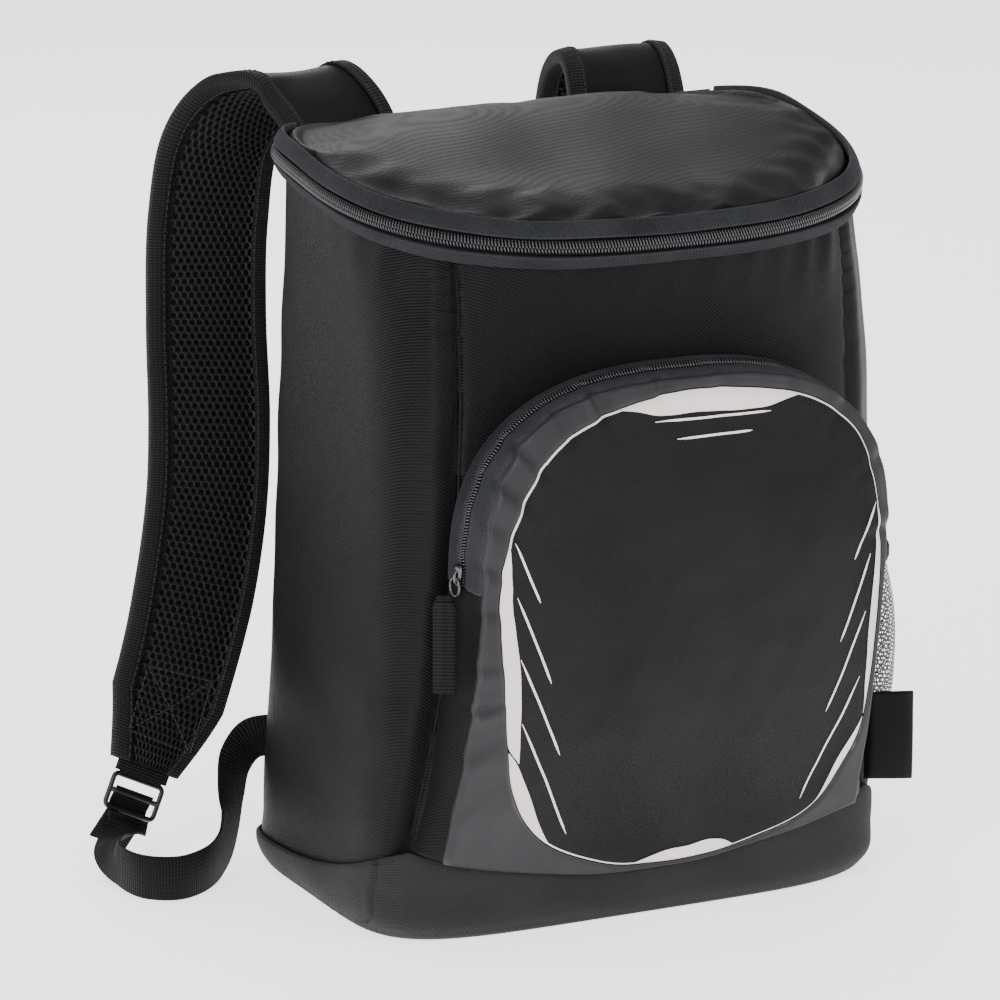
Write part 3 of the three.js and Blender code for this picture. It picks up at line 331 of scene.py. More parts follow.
# %% Helpers for woven finishes
class Weave:
    """A finish under construction: nodes are added one by one and joined at the end."""

    def __init__(self, name):
        self.material, self.tree, self.shader = principled(name)
        self.place = self.node("ShaderNodeTexCoord").outputs["Object"]

    def node(self, kind, **settings):
        made = self.tree.nodes.new(kind)
        for key, value in settings.items():
            setattr(made, key, value)
        return made

    def join(self, source, socket):
        self.tree.links.new(source, socket)

    def maths(self, operation, a, b=0.0):
        made = self.node("ShaderNodeMath", operation=operation)
        for socket, value in zip(made.inputs, (a, b)):
            if isinstance(value, (int, float)):
                socket.default_value = value
            else:
                self.join(value, socket)
        return made.outputs[0]

    def ribs(self, direction, pitch, place=None):
        """Waves from -1 to 1 along a direction, pitch metres apart."""
        dot = self.node("ShaderNodeVectorMath", operation="DOT_PRODUCT")
        self.join(self.place if place is None else place, dot.inputs[0])
        wave = 2 * math.pi / pitch
        dot.inputs[1].default_value = tuple(v * wave for v in Vector(direction).normalized())
        return self.maths("SINE", dot.outputs["Value"])

    def speckle(self, size, detail=2.0):
        """Noise from 0 to 1 with spots about size metres apart."""
        made = self.node("ShaderNodeTexNoise")
        made.inputs["Scale"].default_value = 1.0 / size
        made.inputs["Detail"].default_value = detail
        self.join(self.place, made.inputs["Vector"])
        return made.outputs["Fac"]

    def tones(self, fac, *stops):
        """A ramp of (place, colour) stops."""
        ramp = self.node("ShaderNodeValToRGB")
        while len(ramp.color_ramp.elements) < len(stops):
            ramp.color_ramp.elements.new(0.5)
        for element, (at, colour) in zip(ramp.color_ramp.elements, stops):
            element.position = at
            element.color = (*colour, 1.0)
        self.join(fac, ramp.inputs["Fac"])
        return ramp.outputs["Color"]

    def blend(self, fac, low, high):
        made = self.node("ShaderNodeMix", data_type="RGBA")
        for socket, value in ((made.inputs[0], fac), (made.inputs[6], low), (made.inputs[7], high)):
            if isinstance(value, tuple):
                socket.default_value = (*value, 1.0)
            elif isinstance(value, (int, float)):
                socket.default_value = value
            else:
                self.join(value, socket)
        return made.outputs[2]

    def between(self, value, low, high, to_low=0.0, to_high=1.0):
        made = self.node("ShaderNodeMapRange")
        self.join(value, made.inputs["Value"])
        made.inputs["From Min"].default_value = low
        made.inputs["From Max"].default_value = high
        made.inputs["To Min"].default_value = to_low
        made.inputs["To Max"].default_value = to_high
        return made.outputs["Result"]

    def relief(self, height, depth):
        bump = self.node("ShaderNodeBump")
        bump.inputs["Distance"].default_value = depth
        self.join(height, bump.inputs["Height"])
        self.join(bump.outputs["Normal"], self.shader.inputs["Normal"])

    def sheen(self, weight, roughness, tint=(1.0, 1.0, 1.0), gloss=0.10):
        self.shader.inputs["Sheen Weight"].default_value = weight
        self.shader.inputs["Sheen Roughness"].default_value = roughness
        self.shader.inputs["Sheen Tint"].default_value = (*tint, 1.0)
        self.shader.inputs["Specular IOR Level"].default_value = gloss

    def painted_edge_highlight(self, colour, edge_highlight_tone, amount):
        """Paints a lighter colour on the sharp edges: a painted highlight where the edges catch the light."""
        edge = self.between(self.node("ShaderNodeNewGeometry").outputs["Pointiness"], 0.53, 0.62)
        return self.blend(self.maths("MULTIPLY", edge, amount), colour, edge_highlight_tone)


def twill(name, dark, light, pitch, lean, rough, depth, sheen=0.012):
    """Diagonal ribs over a finer crossing thread."""
    cloth = Weave(name)
    rib = cloth.ribs((lean, lean, 1.0), pitch)
    thread = cloth.ribs((-1.0, -1.0, 0.9 * lean), pitch * 0.55)
    mottle = cloth.speckle(pitch * 1.4, 1.0)
    height = cloth.maths("ADD", rib, cloth.maths("MULTIPLY", thread, 0.6))
    height = cloth.maths("ADD", height, cloth.maths("MULTIPLY", mottle, 1.1))
    slow = cloth.speckle(0.07, 3.0)
    tone = cloth.maths("ADD", cloth.maths("MULTIPLY", height, 0.16), slow)
    colour = cloth.tones(tone, (0.25, dark), (0.85, light))
    # painted highlight: the sharp edges of the twill get this lighter colour
    edge_highlight_tone = tuple(min(1.0, v * 2.2 + 0.01) for v in light)
    cloth.join(cloth.painted_edge_highlight(colour, edge_highlight_tone, 0.35), cloth.shader.inputs["Base Color"])
    cloth.join(cloth.between(slow, 0.2, 0.8, rough - 0.05, rough + 0.07), cloth.shader.inputs["Roughness"])
    cloth.relief(height, depth)
    cloth.sheen(sheen, 0.4)
    return cloth.material


body_twill = twill(
    "body_twill", dark=(0.0012, 0.0012, 0.0012), light=(0.0042, 0.0044, 0.0043),
    pitch=0.0012, lean=0.8, rough=0.42, depth=0.00012,
)
# A darker copy of the body twill for the lid: painted shade on the top of the bag.
shaded_lid_twill = twill(
    "shaded_lid_twill", dark=(0.0010, 0.0010, 0.0010), light=(0.0036, 0.0037, 0.0037),
    pitch=0.0012, lean=0.8, rough=0.40, depth=0.00012,
)
centre_twill = twill(
    "centre_twill", dark=(0.0030, 0.0031, 0.0031), light=(0.0095, 0.0099, 0.0097),
    pitch=0.00125, lean=-0.8, rough=0.45, depth=0.00014,
)
band_cloth = twill(
    "band_cloth", dark=(0.0115, 0.0117, 0.0126), light=(0.0225, 0.0228, 0.0242),
    pitch=0.0011, lean=0.7, rough=0.6, depth=0.0001, sheen=0.02,
)
strap_satin = twill(
    "strap_satin", dark=(0.0010, 0.0010, 0.0011), light=(0.0034, 0.0034, 0.0036),
    pitch=0.0009, lean=0.6, rough=0.36, depth=0.00006,
)
tag_satin = twill(
    "tag_satin", dark=(0.0016, 0.0016, 0.0018), light=(0.0050, 0.0050, 0.0054),
    pitch=0.0006, lean=0.3, rough=0.4, depth=0.00003,
)
print("woven finishes:", [m.name for m in bpy.data.materials if m.use_nodes][:8])

# %% [markdown]
# The pocket is edged with grey taffeta, a plain weave pressed flat and a little shiny. Its
# threads are too fine to see as ribs, so it gets a faint grid, more gloss, and small
# wrinkles that show only where the light grazes it.

# %% Grey taffeta
TAFFETA_PITCH = 0.0007


def taffeta(name):
    cloth = Weave(name)
    weft = cloth.ribs((1.0, 1.0, 0.0), TAFFETA_PITCH)
    warp = cloth.ribs((0.0, 0.0, 1.0), TAFFETA_PITCH)
    grid = cloth.maths("MULTIPLY", weft, warp)
    crumple = cloth.speckle(0.012, 3.0)
    height = cloth.maths("ADD", cloth.maths("MULTIPLY", grid, 0.12), crumple)
    slow = cloth.speckle(0.05, 2.0)
    colour = cloth.tones(slow, (0.3, (0.0125, 0.0126, 0.0140)), (0.75, (0.0205, 0.0207, 0.0228)))
    # painted highlight: the sharp edges of the taffeta turn a lighter grey
    cloth.join(cloth.painted_edge_highlight(colour, (0.09, 0.09, 0.10), 0.6), cloth.shader.inputs["Base Color"])
    cloth.join(cloth.between(crumple, 0.3, 0.7, 0.36, 0.46), cloth.shader.inputs["Roughness"])
    cloth.relief(height, 0.0004)
    cloth.sheen(0.02, 0.35, gloss=0.22)
    return cloth.material


pocket_taffeta = taffeta("pocket_taffeta")

# %% [markdown]
# Zip tape is a dense woven ribbon in blue-grey. It shows a fine herringbone: ribs that lean
# one way in one column and the other way in the next. It is duller than the cloth round it.

# %% Zip tape
def zip_tape(name):
    cloth = Weave(name)
    rib = cloth.ribs((0.9, 0.9, 1.0), 0.0011)
    back = cloth.ribs((-0.9, -0.9, 1.0), 0.0011)
    fuzz = cloth.speckle(0.0008, 2.0)
    height = cloth.maths("ADD", cloth.maths("ADD", rib, back), cloth.maths("MULTIPLY", fuzz, 3.0))
    patch = cloth.speckle(0.03, 2.0)
    tone = cloth.maths("ADD", cloth.maths("MULTIPLY", fuzz, 0.55), cloth.maths("MULTIPLY", patch, 0.45))
    colour = cloth.tones(tone, (0.35, (0.0085, 0.0090, 0.0110)), (0.65, (0.0230, 0.0240, 0.0285)))
    # painted highlight: the sharp edges of the tape turn a lighter grey
    cloth.join(cloth.painted_edge_highlight(colour, (0.12, 0.12, 0.15), 0.3), cloth.shader.inputs["Base Color"])
    cloth.shader.inputs["Roughness"].default_value = 0.75
    cloth.relief(height, 0.00012)
    cloth.sheen(0.02, 0.5, (0.95, 0.96, 1.0))
    return cloth.material


tape_cloth = zip_tape("tape_cloth")

# %% [markdown]
# Webbing and the binding tape have ribs straight across them. The cross ribs follow the
# ribbon round every bend, so they can't come from the bag's coordinates. Each ribbon keeps its
# own length and width in a UV map, measured in metres, and the finish reads that.

# %% Webbing, binding, coil, metal, print, net
WEBBING_CORD = 0.0024
WEBBING_DEPTH = 0.00025


def webbing(name, dark, light, rib_pitch, rough):
    cloth = Weave(name)
    run = cloth.node("ShaderNodeUVMap", uv_map="ribbon").outputs["UV"]
    rib = cloth.ribs((1.0, 0.0, 0.0), rib_pitch, run)
    column = cloth.ribs((0.0, 1.0, 0.0), WEBBING_CORD, run)
    fuzz = cloth.speckle(0.0007, 2.0)
    height = cloth.maths("ADD", rib, cloth.maths("MULTIPLY", column, 0.35))
    height = cloth.maths("ADD", height, cloth.maths("MULTIPLY", fuzz, 1.2))
    tone = cloth.between(height, -1.2, 2.2)
    colour = cloth.tones(tone, (0.1, dark), (0.9, light))
    # painted highlight: the sharp edges of the webbing get this lighter colour
    edge_highlight_tone = tuple(v * 2.5 for v in light)
    cloth.join(cloth.painted_edge_highlight(colour, edge_highlight_tone, 0.3), cloth.shader.inputs["Base Color"])
    cloth.shader.inputs["Roughness"].default_value = rough
    cloth.relief(height, WEBBING_DEPTH)
    cloth.sheen(0.02, 0.45)
    return cloth.material


black_webbing = webbing(
    "black_webbing", dark=(0.0016, 0.0016, 0.0017), light=(0.0085, 0.0085, 0.0092),
    rib_pitch=0.0017, rough=0.62,
)
binding_tape = webbing(
    "binding_tape", dark=(0.0024, 0.0024, 0.0026), light=(0.0140, 0.0140, 0.0152),
    rib_pitch=0.0016, rough=0.66,
)
pull_webbing = webbing(
    "pull_webbing", dark=(0.0020, 0.0020, 0.0022), light=(0.0120, 0.0120, 0.0126),
    rib_pitch=0.0019, rough=0.6,
)


def glossy(name, colour, rough, metal=0.0, coat=0.0, grain=0.0006, depth=0.00003, gloss=0.5):
    finish = Weave(name)
    fine = finish.speckle(grain, 2.0)
    smear = finish.speckle(0.02, 2.0)
    dark = tuple(v * 0.75 for v in colour)
    tint = finish.blend(smear, dark, colour)
    # painted highlight: the sharp edges get this lighter colour
    edge_highlight_tone = tuple(min(1.0, v * 1.8 + 0.02) for v in colour)
    finish.join(finish.painted_edge_highlight(tint, edge_highlight_tone, 0.5), finish.shader.inputs["Base Color"])
    roughness = finish.between(smear, 0.3, 0.7, rough * 0.8, rough * 1.25)
    finish.join(roughness, finish.shader.inputs["Roughness"])
    finish.shader.inputs["Metallic"].default_value = metal
    finish.shader.inputs["Coat Weight"].default_value = coat
    finish.shader.inputs["Specular IOR Level"].default_value = gloss
    finish.relief(fine, depth)
    return finish.material


coil_nylon = glossy("coil_nylon", (0.012, 0.013, 0.014), 0.22, coat=0.3)
dark_metal = glossy("dark_metal", (0.10, 0.10, 0.105), 0.26, metal=0.95)
pale_print = glossy("pale_print", (0.80, 0.72, 0.685), 0.5, grain=0.0012, depth=0.00008)
net_thread = glossy("net_thread", (0.012, 0.012, 0.013), 0.5, grain=0.0004, depth=0.00005, gloss=0.25)
stitch_thread = glossy("stitch_thread", (0.018, 0.018, 0.019), 0.45, grain=0.0003, depth=0.00004, gloss=0.3)
spacer_mesh = glossy("spacer_mesh", (0.0085, 0.0085, 0.0092), 0.6, grain=0.0005, depth=0.00012, gloss=0.2)
mesh_backing = glossy("mesh_backing", (0.0022, 0.0022, 0.0024), 0.8, grain=0.0007, depth=0.00015, gloss=0.1)
seam_shadow = glossy("seam_shadow", (0.0009, 0.0009, 0.0009), 0.8, depth=0.00005, gloss=0.05)
buckle_plastic = glossy("buckle_plastic", (0.010, 0.010, 0.0105), 0.32, grain=0.0008, gloss=0.4)
print("finishes:", len(bpy.data.materials))

# %% [markdown]
# ## The padded body
# The main compartment is a tube of twill over foam, sewn from a front, two sides and a back.
# It could be made by inflating four flat patterns, but the sections above already hold its real
# fullness. So the tube is skinned once, and then the points are pushed in at the seams and out
# in low folds. The seam at each front corner starts a hand's breadth from the zip's middle and
# runs outwards to the foot, and the side panel rolls into it.

# %% Round the bag, and where the corner seams run
def stretches(*parts):
    """Shares in stretches of (start, end, count), each stretch joined to the next."""
    before = [np.linspace(start, end, count)[:-1] for start, end, count in parts[:-1]]
    return np.concatenate([*before, np.linspace(*parts[-1])])


def round_angles(per_quarter, crowding=1.5):
    away = 2 * np.arange(per_quarter) / per_quarter - 1
    bent = (1 + np.sign(away) * np.abs(away) ** crowding) / 2
    return np.concatenate([(quarter + bent) * math.pi / 2 for quarter in range(4)])


CORNER_SEAM = {
    "height": (0.0, 0.032, 0.05, 0.082, 0.115, 0.138, 0.2, 0.258, 0.38),
    "across": (0.1535, 0.1500, 0.1415, 0.1345, 0.1285, 0.125, 0.119, 0.1173, 0.1155),
}


def lengths_round(row):
    """Distance along a closed row from its first point."""
    steps = np.linalg.norm(np.roll(row, -1, 0) - row, axis=1)
    return np.concatenate([[0], np.cumsum(steps)[:-1]]), steps.sum()


def seam_distance(row, side):
    """Signed distance along a row from the corner seam of one side; positive on the front."""
    along, total = lengths_round(row)
    wanted = read(CORNER_SEAM, "across", float(row[:, 2].mean()))
    front = (row[:, 1] < 0) & (np.sign(row[:, 0]) == side)
    miss = np.where(front, np.abs(np.abs(row[:, 0]) - wanted), 9.0)
    away = along - along[int(np.argmin(miss))]
    away = (away + total / 2) % total - total / 2
    return away * (1 if side < 0 else -1)


AROUND = round_angles(84)
print("points round the bag:", len(AROUND))

# %% [markdown]
# Cloth that is sewn to a stiff zip is a little longer than the zip, so it puckers. The puckers
# are short folds straight down from the seam that die out within four centimetres. Lower down
# only a slow swell is left, where the foam is softer or firmer.

# %% Skin the body
SEAM_DIP = 0.0026
SEAM_LIP = 0.0010
RIM_UP = 0.9985
PUCKER_PITCH = 0.021
PUCKER_DEEP = 0.0011
PUCKER_BELOW = 0.012


def corner_roll(row):
    """How deep the cloth dips into the two corner seams."""
    dip = np.zeros(len(row))
    for side in (-1, 1):
        away = seam_distance(row, side)
        wide = np.where(away > 0, 0.0022, 0.0065)
        dip = dip + SEAM_DIP * fade(away, wide) + 0.0012 * fade(away, 0.0012)
        dip = dip - SEAM_LIP * fade(away + 0.011, 0.006)
    return dip


def body_rows(ups, grow):
    rows = []
    for up in ups:
        x, y = plan(up, AROUND, grow)
        rows.append(np.stack([x, y, up * rim_height(y)], axis=1))
    return np.array(rows)


BODY_UPS = stretches((0, 0.08, 10), (0.08, 0.86, 62), (0.86, RIM_UP, 42))
body_outside = body_rows(BODY_UPS, 0.0)
body_outside[..., 2] = np.maximum(body_outside[..., 2], CLOTH + GAP)
facing = outward(body_outside, closed=True)
for index, row in enumerate(body_outside):
    along, _ = lengths_round(row)
    below_rim = rim_height(row[:, 1]) - row[:, 2]
    pucker = np.sin(along * 2 * math.pi / PUCKER_PITCH + 2.2 * ripple(along, 0 * along, 0.13, 5))
    pucker = pucker * (0.55 + 0.45 * ripple(along, 0 * along, 0.09, 7))
    pucker = pucker * fade(below_rim - PUCKER_BELOW, 0.020)
    swell = 0.0011 * ripple(along, row[:, 2], 0.16, 11) + 0.0005 * ripple(along, row[:, 2], 0.06, 12)
    calm = 1 - fade(row[:, 2], 0.06)
    push = PUCKER_DEEP * pucker + swell * calm - corner_roll(row) * np.minimum(1, row[:, 2] / 0.03)
    push = push * np.clip(below_rim / PUCKER_BELOW, 0.15, 1)
    body_outside[index] = row + facing[index] * push[:, None]
body_inside = body_rows(np.linspace(0.02, RIM_UP, 14), -BODY_WALL)
body_inside[..., 2] = np.maximum(body_inside[..., 2], CLOTH + GAP + BODY_WALL)
body = skin(
    "body_padded", np.concatenate([body_outside, body_inside[::-1]]), body_twill,
    closed=True, cap_start=True, cap_end=True,
)
place(body, "body_twill", "insulated_body")
print("body faces:", len(body.data.polygons))

# %% [markdown]
# The seam itself is a dark slit with the folded edge of the front panel beside it. It is thinner
# than the points of the big skin are apart, so it is laid along the seam as two thin cords of
# cloth: a round ridge, and the shadowed slit that it closes.

# %% Lay the corner seams
SEAM_FROM, SEAM_TO = 0.062, 0.383
RIDGE_WIDE, RIDGE_HIGH, RIDGE_ASIDE = 0.0017, 0.0008, 0.0016
SLIT_WIDE, SLIT_HIGH = 0.0008, 0.0003


def corner_seam(side, aside, wide, high, material, name):
    """A cord along one corner seam, aside metres towards the front panel."""
    sections = []
    for z in np.linspace(SEAM_FROM, SEAM_TO, 150):
        across = float(read(CORNER_SEAM, "across", z)) - aside
        step = 0.0004
        a, b = (np.array([side * v, -float(front_at(v, z)), z]) for v in (across - step, across + step))
        run = (b - a) / np.linalg.norm(b - a)
        out = np.array([side * abs(run[1]), -abs(run[0]), 0.0])
        sink = SEAM_DIP + SEAM_LIP - high
        base = (a + b) / 2 - out * sink * (1 if aside == 0 else 0.55)
        angles = np.arange(8) * math.pi / 4
        sections.append([base + run * math.cos(t) * wide / 2 + out * math.sin(t) * high for t in angles])
    cord = skin(name, np.array(sections), material, closed=True, cap_start=True, cap_end=True)
    return place(cord, "body_twill")


for side, name in ((-1, "left"), (1, "right")):
    corner_seam(side, RIDGE_ASIDE, RIDGE_WIDE, RIDGE_HIGH, body_twill, f"seam_ridge_{name}")
    corner_seam(side, 0.0, SLIT_WIDE, SLIT_HIGH, seam_shadow, f"seam_slit_{name}")
print("corner seams from", SEAM_FROM, "to", SEAM_TO)

# %% [markdown]
# ## The base band
# A tub of stiffer charcoal cloth wraps the foot. Its top edge waves: low in the middle of the
# front, highest at the corners, and down again along the sides. The edge is turned under, so it
# ends in a small roll with a dark gap behind it. At each front corner a slanting seam joins the
# front piece to the side piece.

# %% Skin the band
BAND_BACK_HEIGHT = 0.017
BAND_CORNER_HEIGHT = 0.059
BAND_FRONT_HEIGHT = 0.028
BAND_CLEAR = 0.0006


def band_top(x, y):
    front = mix(BAND_FRONT_HEIGHT, BAND_CORNER_HEIGHT, (np.abs(x) / HALF_WIDTH) ** 1.9)
    forward = (BACK_REACH - y) / (BACK_REACH + front_at(0, BAND_CORNER_HEIGHT))
    side = mix(BAND_BACK_HEIGHT, BAND_CORNER_HEIGHT, np.maximum(0, forward) ** 2.6)
    return np.minimum(front, side)


BAND_FACE = {  # share of the height, how far out in millimetres
    "share": (0.0, 0.03, 0.12, 0.5, 0.86, 0.95, 1.0),
    "proud": (0.6, 2.0, 2.6, 2.9, 2.7, 2.5, 1.9),
}


def band_rows(shares, proud):
    rows = []
    for share, out in zip(shares, proud):
        x, y = plan(0.02, AROUND, 0.0)
        top = band_top(x, y)
        z = share * top
        x, y = plan(z / rim_height(y), AROUND, out)
        rows.append(np.stack([x, y, z], axis=1))
    return np.array(rows)


BAND_SHARES = stretches((0, 0.2, 9), (0.2, 0.9, 16), (0.9, 1, 6))
band_outside = band_rows(BAND_SHARES, read(BAND_FACE, "proud", BAND_SHARES) * MM)
facing = outward(band_outside, closed=True)
for index, row in enumerate(band_outside):
    dip = np.zeros(len(row))
    for side in (-1, 1):
        away = seam_distance(row, side)
        dip = dip + 0.0013 * fade(away, 0.0014) - 0.0005 * fade(away + 0.004, 0.003)
    along, _ = lengths_round(row)
    push = (0.0004 * ripple(along, row[:, 2], 0.05, 21) - dip) * min(1.0, 6 * BAND_SHARES[index])
    band_outside[index] = row + facing[index] * push[:, None]
top_lip = band_rows((1.0, 0.97), (0.0009, 0.0007))
top_lip[0, :, 2] += 0.0004
band_inside = band_rows((0.7, 0.35), (BAND_CLEAR, BAND_CLEAR))
band_floor = band_rows((0.0,), (BAND_CLEAR,))
band_floor[..., 2] = CLOTH
band = skin(
    "band_tub", np.concatenate([band_outside, top_lip, band_inside, band_floor]), band_cloth,
    closed=True, cap_start=True, cap_end=True,
)
place(band, "band_cloth", "base_band")
print("band faces:", len(band.data.polygons))

# %% [markdown]
# ## The lid
# The lid is a foam pad with twill drawn over it and eased onto the zip tape. The cloth is
# slightly too big for its edge, so it gathers in folds that point to the middle, most of all
# along the front. That is what a cloth simulation does well: the dome starts smooth, its edge
# is pinned where it is sewn, the cloth is told that it was cut a little larger, and air
# pressure stands in for the foam. After twenty frames the folds are real geometry. The foam
# holds the middle of the lid flat, so the folds are kept near the edge and fade towards it.

# %% The dome before it puckers
LID_RISE = 0.0155
LID_PAD = 0.006
LID_DOME = {
    "inward": (0.0, 0.025, 0.08, 0.2, 0.45, 0.9, 1.0),
    "rise": (0.42, 0.62, 0.77, 0.9, 0.97, 1.0, 1.0),
}
LID_AROUND = round_angles(56)


def lid_rows(inwards, rise):
    rows = []
    for inward, high in zip(inwards, rise):
        x, y = plan(1.0, LID_AROUND)
        x, y = x * (1 - inward), y * (1 - inward)
        rows.append(np.stack([x, y, rim_height(y) + high], axis=1))
    return np.array(rows)


SETTLE_FRAMES = 20
SETTLE_STIFFNESS = 12.0


def settle(piece, pinned, pressure, growth, cap, share):
    """Runs a short cloth simulation with the pinned points held, and keeps each point's share of it."""
    held = piece.vertex_groups.new(name="sewn")
    held.add([int(i) for i in pinned], 1.0, "REPLACE")
    before = np.array([v.co[:] for v in piece.data.vertices])
    step = piece.modifiers.new("cloth", "CLOTH")
    cloth = step.settings
    cloth.quality = 6
    cloth.mass = 0.25
    cloth.tension_stiffness = SETTLE_STIFFNESS
    cloth.compression_stiffness = SETTLE_STIFFNESS
    cloth.shear_stiffness = SETTLE_STIFFNESS / 2
    cloth.bending_stiffness = 0.12
    cloth.air_damping = 2.0
    cloth.use_pressure = True
    cloth.uniform_pressure_force = pressure
    cloth.shrink_min = -growth
    cloth.vertex_group_mass = "sewn"
    cloth.effector_weights.gravity = 0.0
    step.collision_settings.use_collision = False
    step.point_cache.frame_start = 1
    step.point_cache.frame_end = SETTLE_FRAMES
    scene = bpy.context.scene
    for number in range(1, SETTLE_FRAMES + 1):
        scene.frame_set(number)
    shaped = piece.evaluated_get(bpy.context.evaluated_depsgraph_get())
    after = np.array([v.co[:] for v in shaped.data.vertices])
    piece.modifiers.remove(step)
    scene.frame_set(1)
    moved = after - before
    far = np.linalg.norm(moved, axis=1, keepdims=True)
    moved = moved * np.minimum(1, cap / np.maximum(far, 1e-9)) * share[:, None]
    piece.data.vertices.foreach_set("co", (before + moved).ravel())
    piece.data.update()
    farthest = float(np.linalg.norm(moved, axis=1).max()) / MM
    print(piece.name, "settled; farthest move", round(farthest, 1), "mm")


LID_INWARDS = stretches((0, 0.08, 6), (0.08, 0.6, 24), (0.6, 0.985, 12))
dome = lid_rows(LID_INWARDS, read(LID_DOME, "rise", LID_INWARDS) * LID_RISE)
# the lid wears the darker copy of the body twill, which is painted shade
lid = skin("lid_pad", dome, shaded_lid_twill, closed=True, cap_end=True)
per_row = len(LID_AROUND)
near_edge = np.append(np.repeat(fade(LID_INWARDS, 0.30), per_row), 0.0)
settle(lid, range(2 * per_row), pressure=1.2, growth=0.03, cap=0.0045, share=near_edge)
print("lid points:", len(lid.data.vertices))

# %% [markdown]
# The simulation doesn't know where a sewing machine pulled harder. Low folds are added
# along the front edge, where the photograph shows the deepest ones, and the underside is closed
# with a plain liner so that the lid is a real pad with its thickness.

# %% Folds along the front of the lid, and its liner
RIM_RADIUS = 0.14
FRONT_FOLD_PITCH = 0.034
FRONT_FOLD_DEEP = 0.0021
UNDERSIDE = {
    "inward": (0.0, LID_PAD / HALF_WIDTH, 0.08, 0.3, 0.7, 0.95),
    "rise": (GAP, GAP, 0.002, 0.010, 0.0125, 0.013),
}


def ease_front(piece):
    points = np.array([v.co[:] for v in piece.data.vertices])
    x, y = points[:, 0], points[:, 1]
    edge_x, edge_y = plan(1.0, np.arctan2(y / FRONT_REACH, x / HALF_WIDTH))
    inward = 1 - np.hypot(x, y) / np.maximum(np.hypot(edge_x, edge_y), 1e-6)
    turn = np.arctan2(y, x)
    run = turn * RIM_RADIUS
    fold = np.sin(run * 2 * math.pi / FRONT_FOLD_PITCH + 2.5 * ripple(run, inward, 0.2, 31))
    fold = fold * (0.5 + 0.5 * ripple(run, 0 * run, 0.11, 33))
    front = np.clip(-y / FRONT_REACH, 0, 1) ** 0.6
    depth = FRONT_FOLD_DEEP * front * fade(inward - 0.10, 0.11) * np.clip(inward / 0.03, 0, 1)
    broad = 0.0016 * ripple(x, y, 0.09, 35) * np.clip(inward / 0.2, 0, 1)
    points[:, 2] += depth * fold + broad
    piece.data.vertices.foreach_set("co", points.ravel())
    piece.data.update()


ease_front(lid)


def add_underside(piece, under_rows):
    """Joins the liner's rows to the first row of the dome and closes them in the middle."""
    mesh = bmesh.new()
    mesh.from_mesh(piece.data)
    mesh.verts.ensure_lookup_table()
    above = [mesh.verts[j] for j in range(per_row)]
    for row in under_rows:
        below = [mesh.verts.new(tuple(p)) for p in row]
        for j in range(per_row):
            k = (j + 1) % per_row
            mesh.faces.new((above[k], above[j], below[j], below[k])).smooth = True
        above = below
    middle = mesh.verts.new(tuple(under_rows[-1].mean(axis=0)))
    for j in range(per_row):
        mesh.faces.new((above[(j + 1) % per_row], above[j], middle)).smooth = True
    mesh.to_mesh(piece.data)
    mesh.free()


add_underside(lid, lid_rows(UNDERSIDE["inward"], UNDERSIDE["rise"]))
lid.modifiers.new("round", "SUBSURF").levels = 1
lid.modifiers["round"].render_levels = 1
place(lid, "body_twill", "lid_panel")
print("lid faces:", len(lid.data.polygons))

# %% [markdown]
# ## The zip round the lid
# The zip stands out from the bag like a small gutter. The lower tape rises from the body to the
# teeth, and the upper tape leans back over the teeth and ends in a free edge above the lid, with
# a dark crease behind it. Each tape is one section drawn once, in how far out and how high it
# is, and carried round the rim. The coil between them is nylon: two rows of small loops that
# hook into each other, which is why it glints in three fine lines.

# %% Carry a section round the rim
LID_ZIP_END = math.radians(138)
ZIP_ANGLES = np.linspace(LID_ZIP_END, 3 * math.pi - LID_ZIP_END, 420)


def evened(angles, grow):
    """The same run with its steps made equally long."""
    fine = np.linspace(angles[0], angles[-1], 4000)
    x, y = plan(1.0, fine, grow)
    z = rim_height(y)
    steps = np.sqrt(np.diff(x) ** 2 + np.diff(y) ** 2 + np.diff(z) ** 2)
    far = np.concatenate([[0], np.cumsum(steps)])
    return np.interp(np.linspace(0, far[-1], len(angles)), far, fine), far[-1]


ZIP_ANGLES, ZIP_LENGTH = evened(ZIP_ANGLES, 0.006)


def rim_rows(angles, section, wobble=0.0, seed=0):
    """Rows of points round the rim; section holds (out, high) in millimetres."""
    rows = []
    for out, high in section:
        x, y = plan(np.minimum(1, 1 + high * MM / RIM_HEIGHT), angles, out * MM)
        z = rim_height(y) + high * MM
        if wobble:
            z = z + wobble * ripple(angles * RIM_RADIUS, 0 * angles, 0.05, seed)
        rows.append(np.stack([x, y, z], axis=1))
    return np.array(rows).transpose(1, 0, 2)


LOWER_TAPE = (
    (0.4, -4.9), (2.4, -4.8), (4.6, -4.75), (5.9, -4.8), (6.3, -5.3), (6.0, -6.4),
    (5.2, -8.0), (4.0, -10.0), (3.0, -11.6), (2.2, -12.4), (1.4, -12.7), (0.5, -12.5),
)
UPPER_TAPE = (
    (0.5, 12.0), (1.2, 12.9), (2.0, 12.8), (2.9, 12.0), (4.3, 10.2), (5.5, 8.0),
    (6.2, 6.2), (6.3, 5.2), (5.8, 4.8), (4.6, 4.75), (2.4, 4.8), (0.4, 4.9),
)
lower_tape = rod("lid_tape_lower", rim_rows(ZIP_ANGLES, LOWER_TAPE, 0.0004, 41), tape_cloth)
upper_tape = rod("lid_tape_upper", rim_rows(ZIP_ANGLES, UPPER_TAPE, 0.0005, 43), tape_cloth)
place(lower_tape, "zip_tape", "lid_zip_tape_lower")
place(upper_tape, "zip_tape", "lid_zip_tape_upper")
print("zip length", round(ZIP_LENGTH, 3), "m")

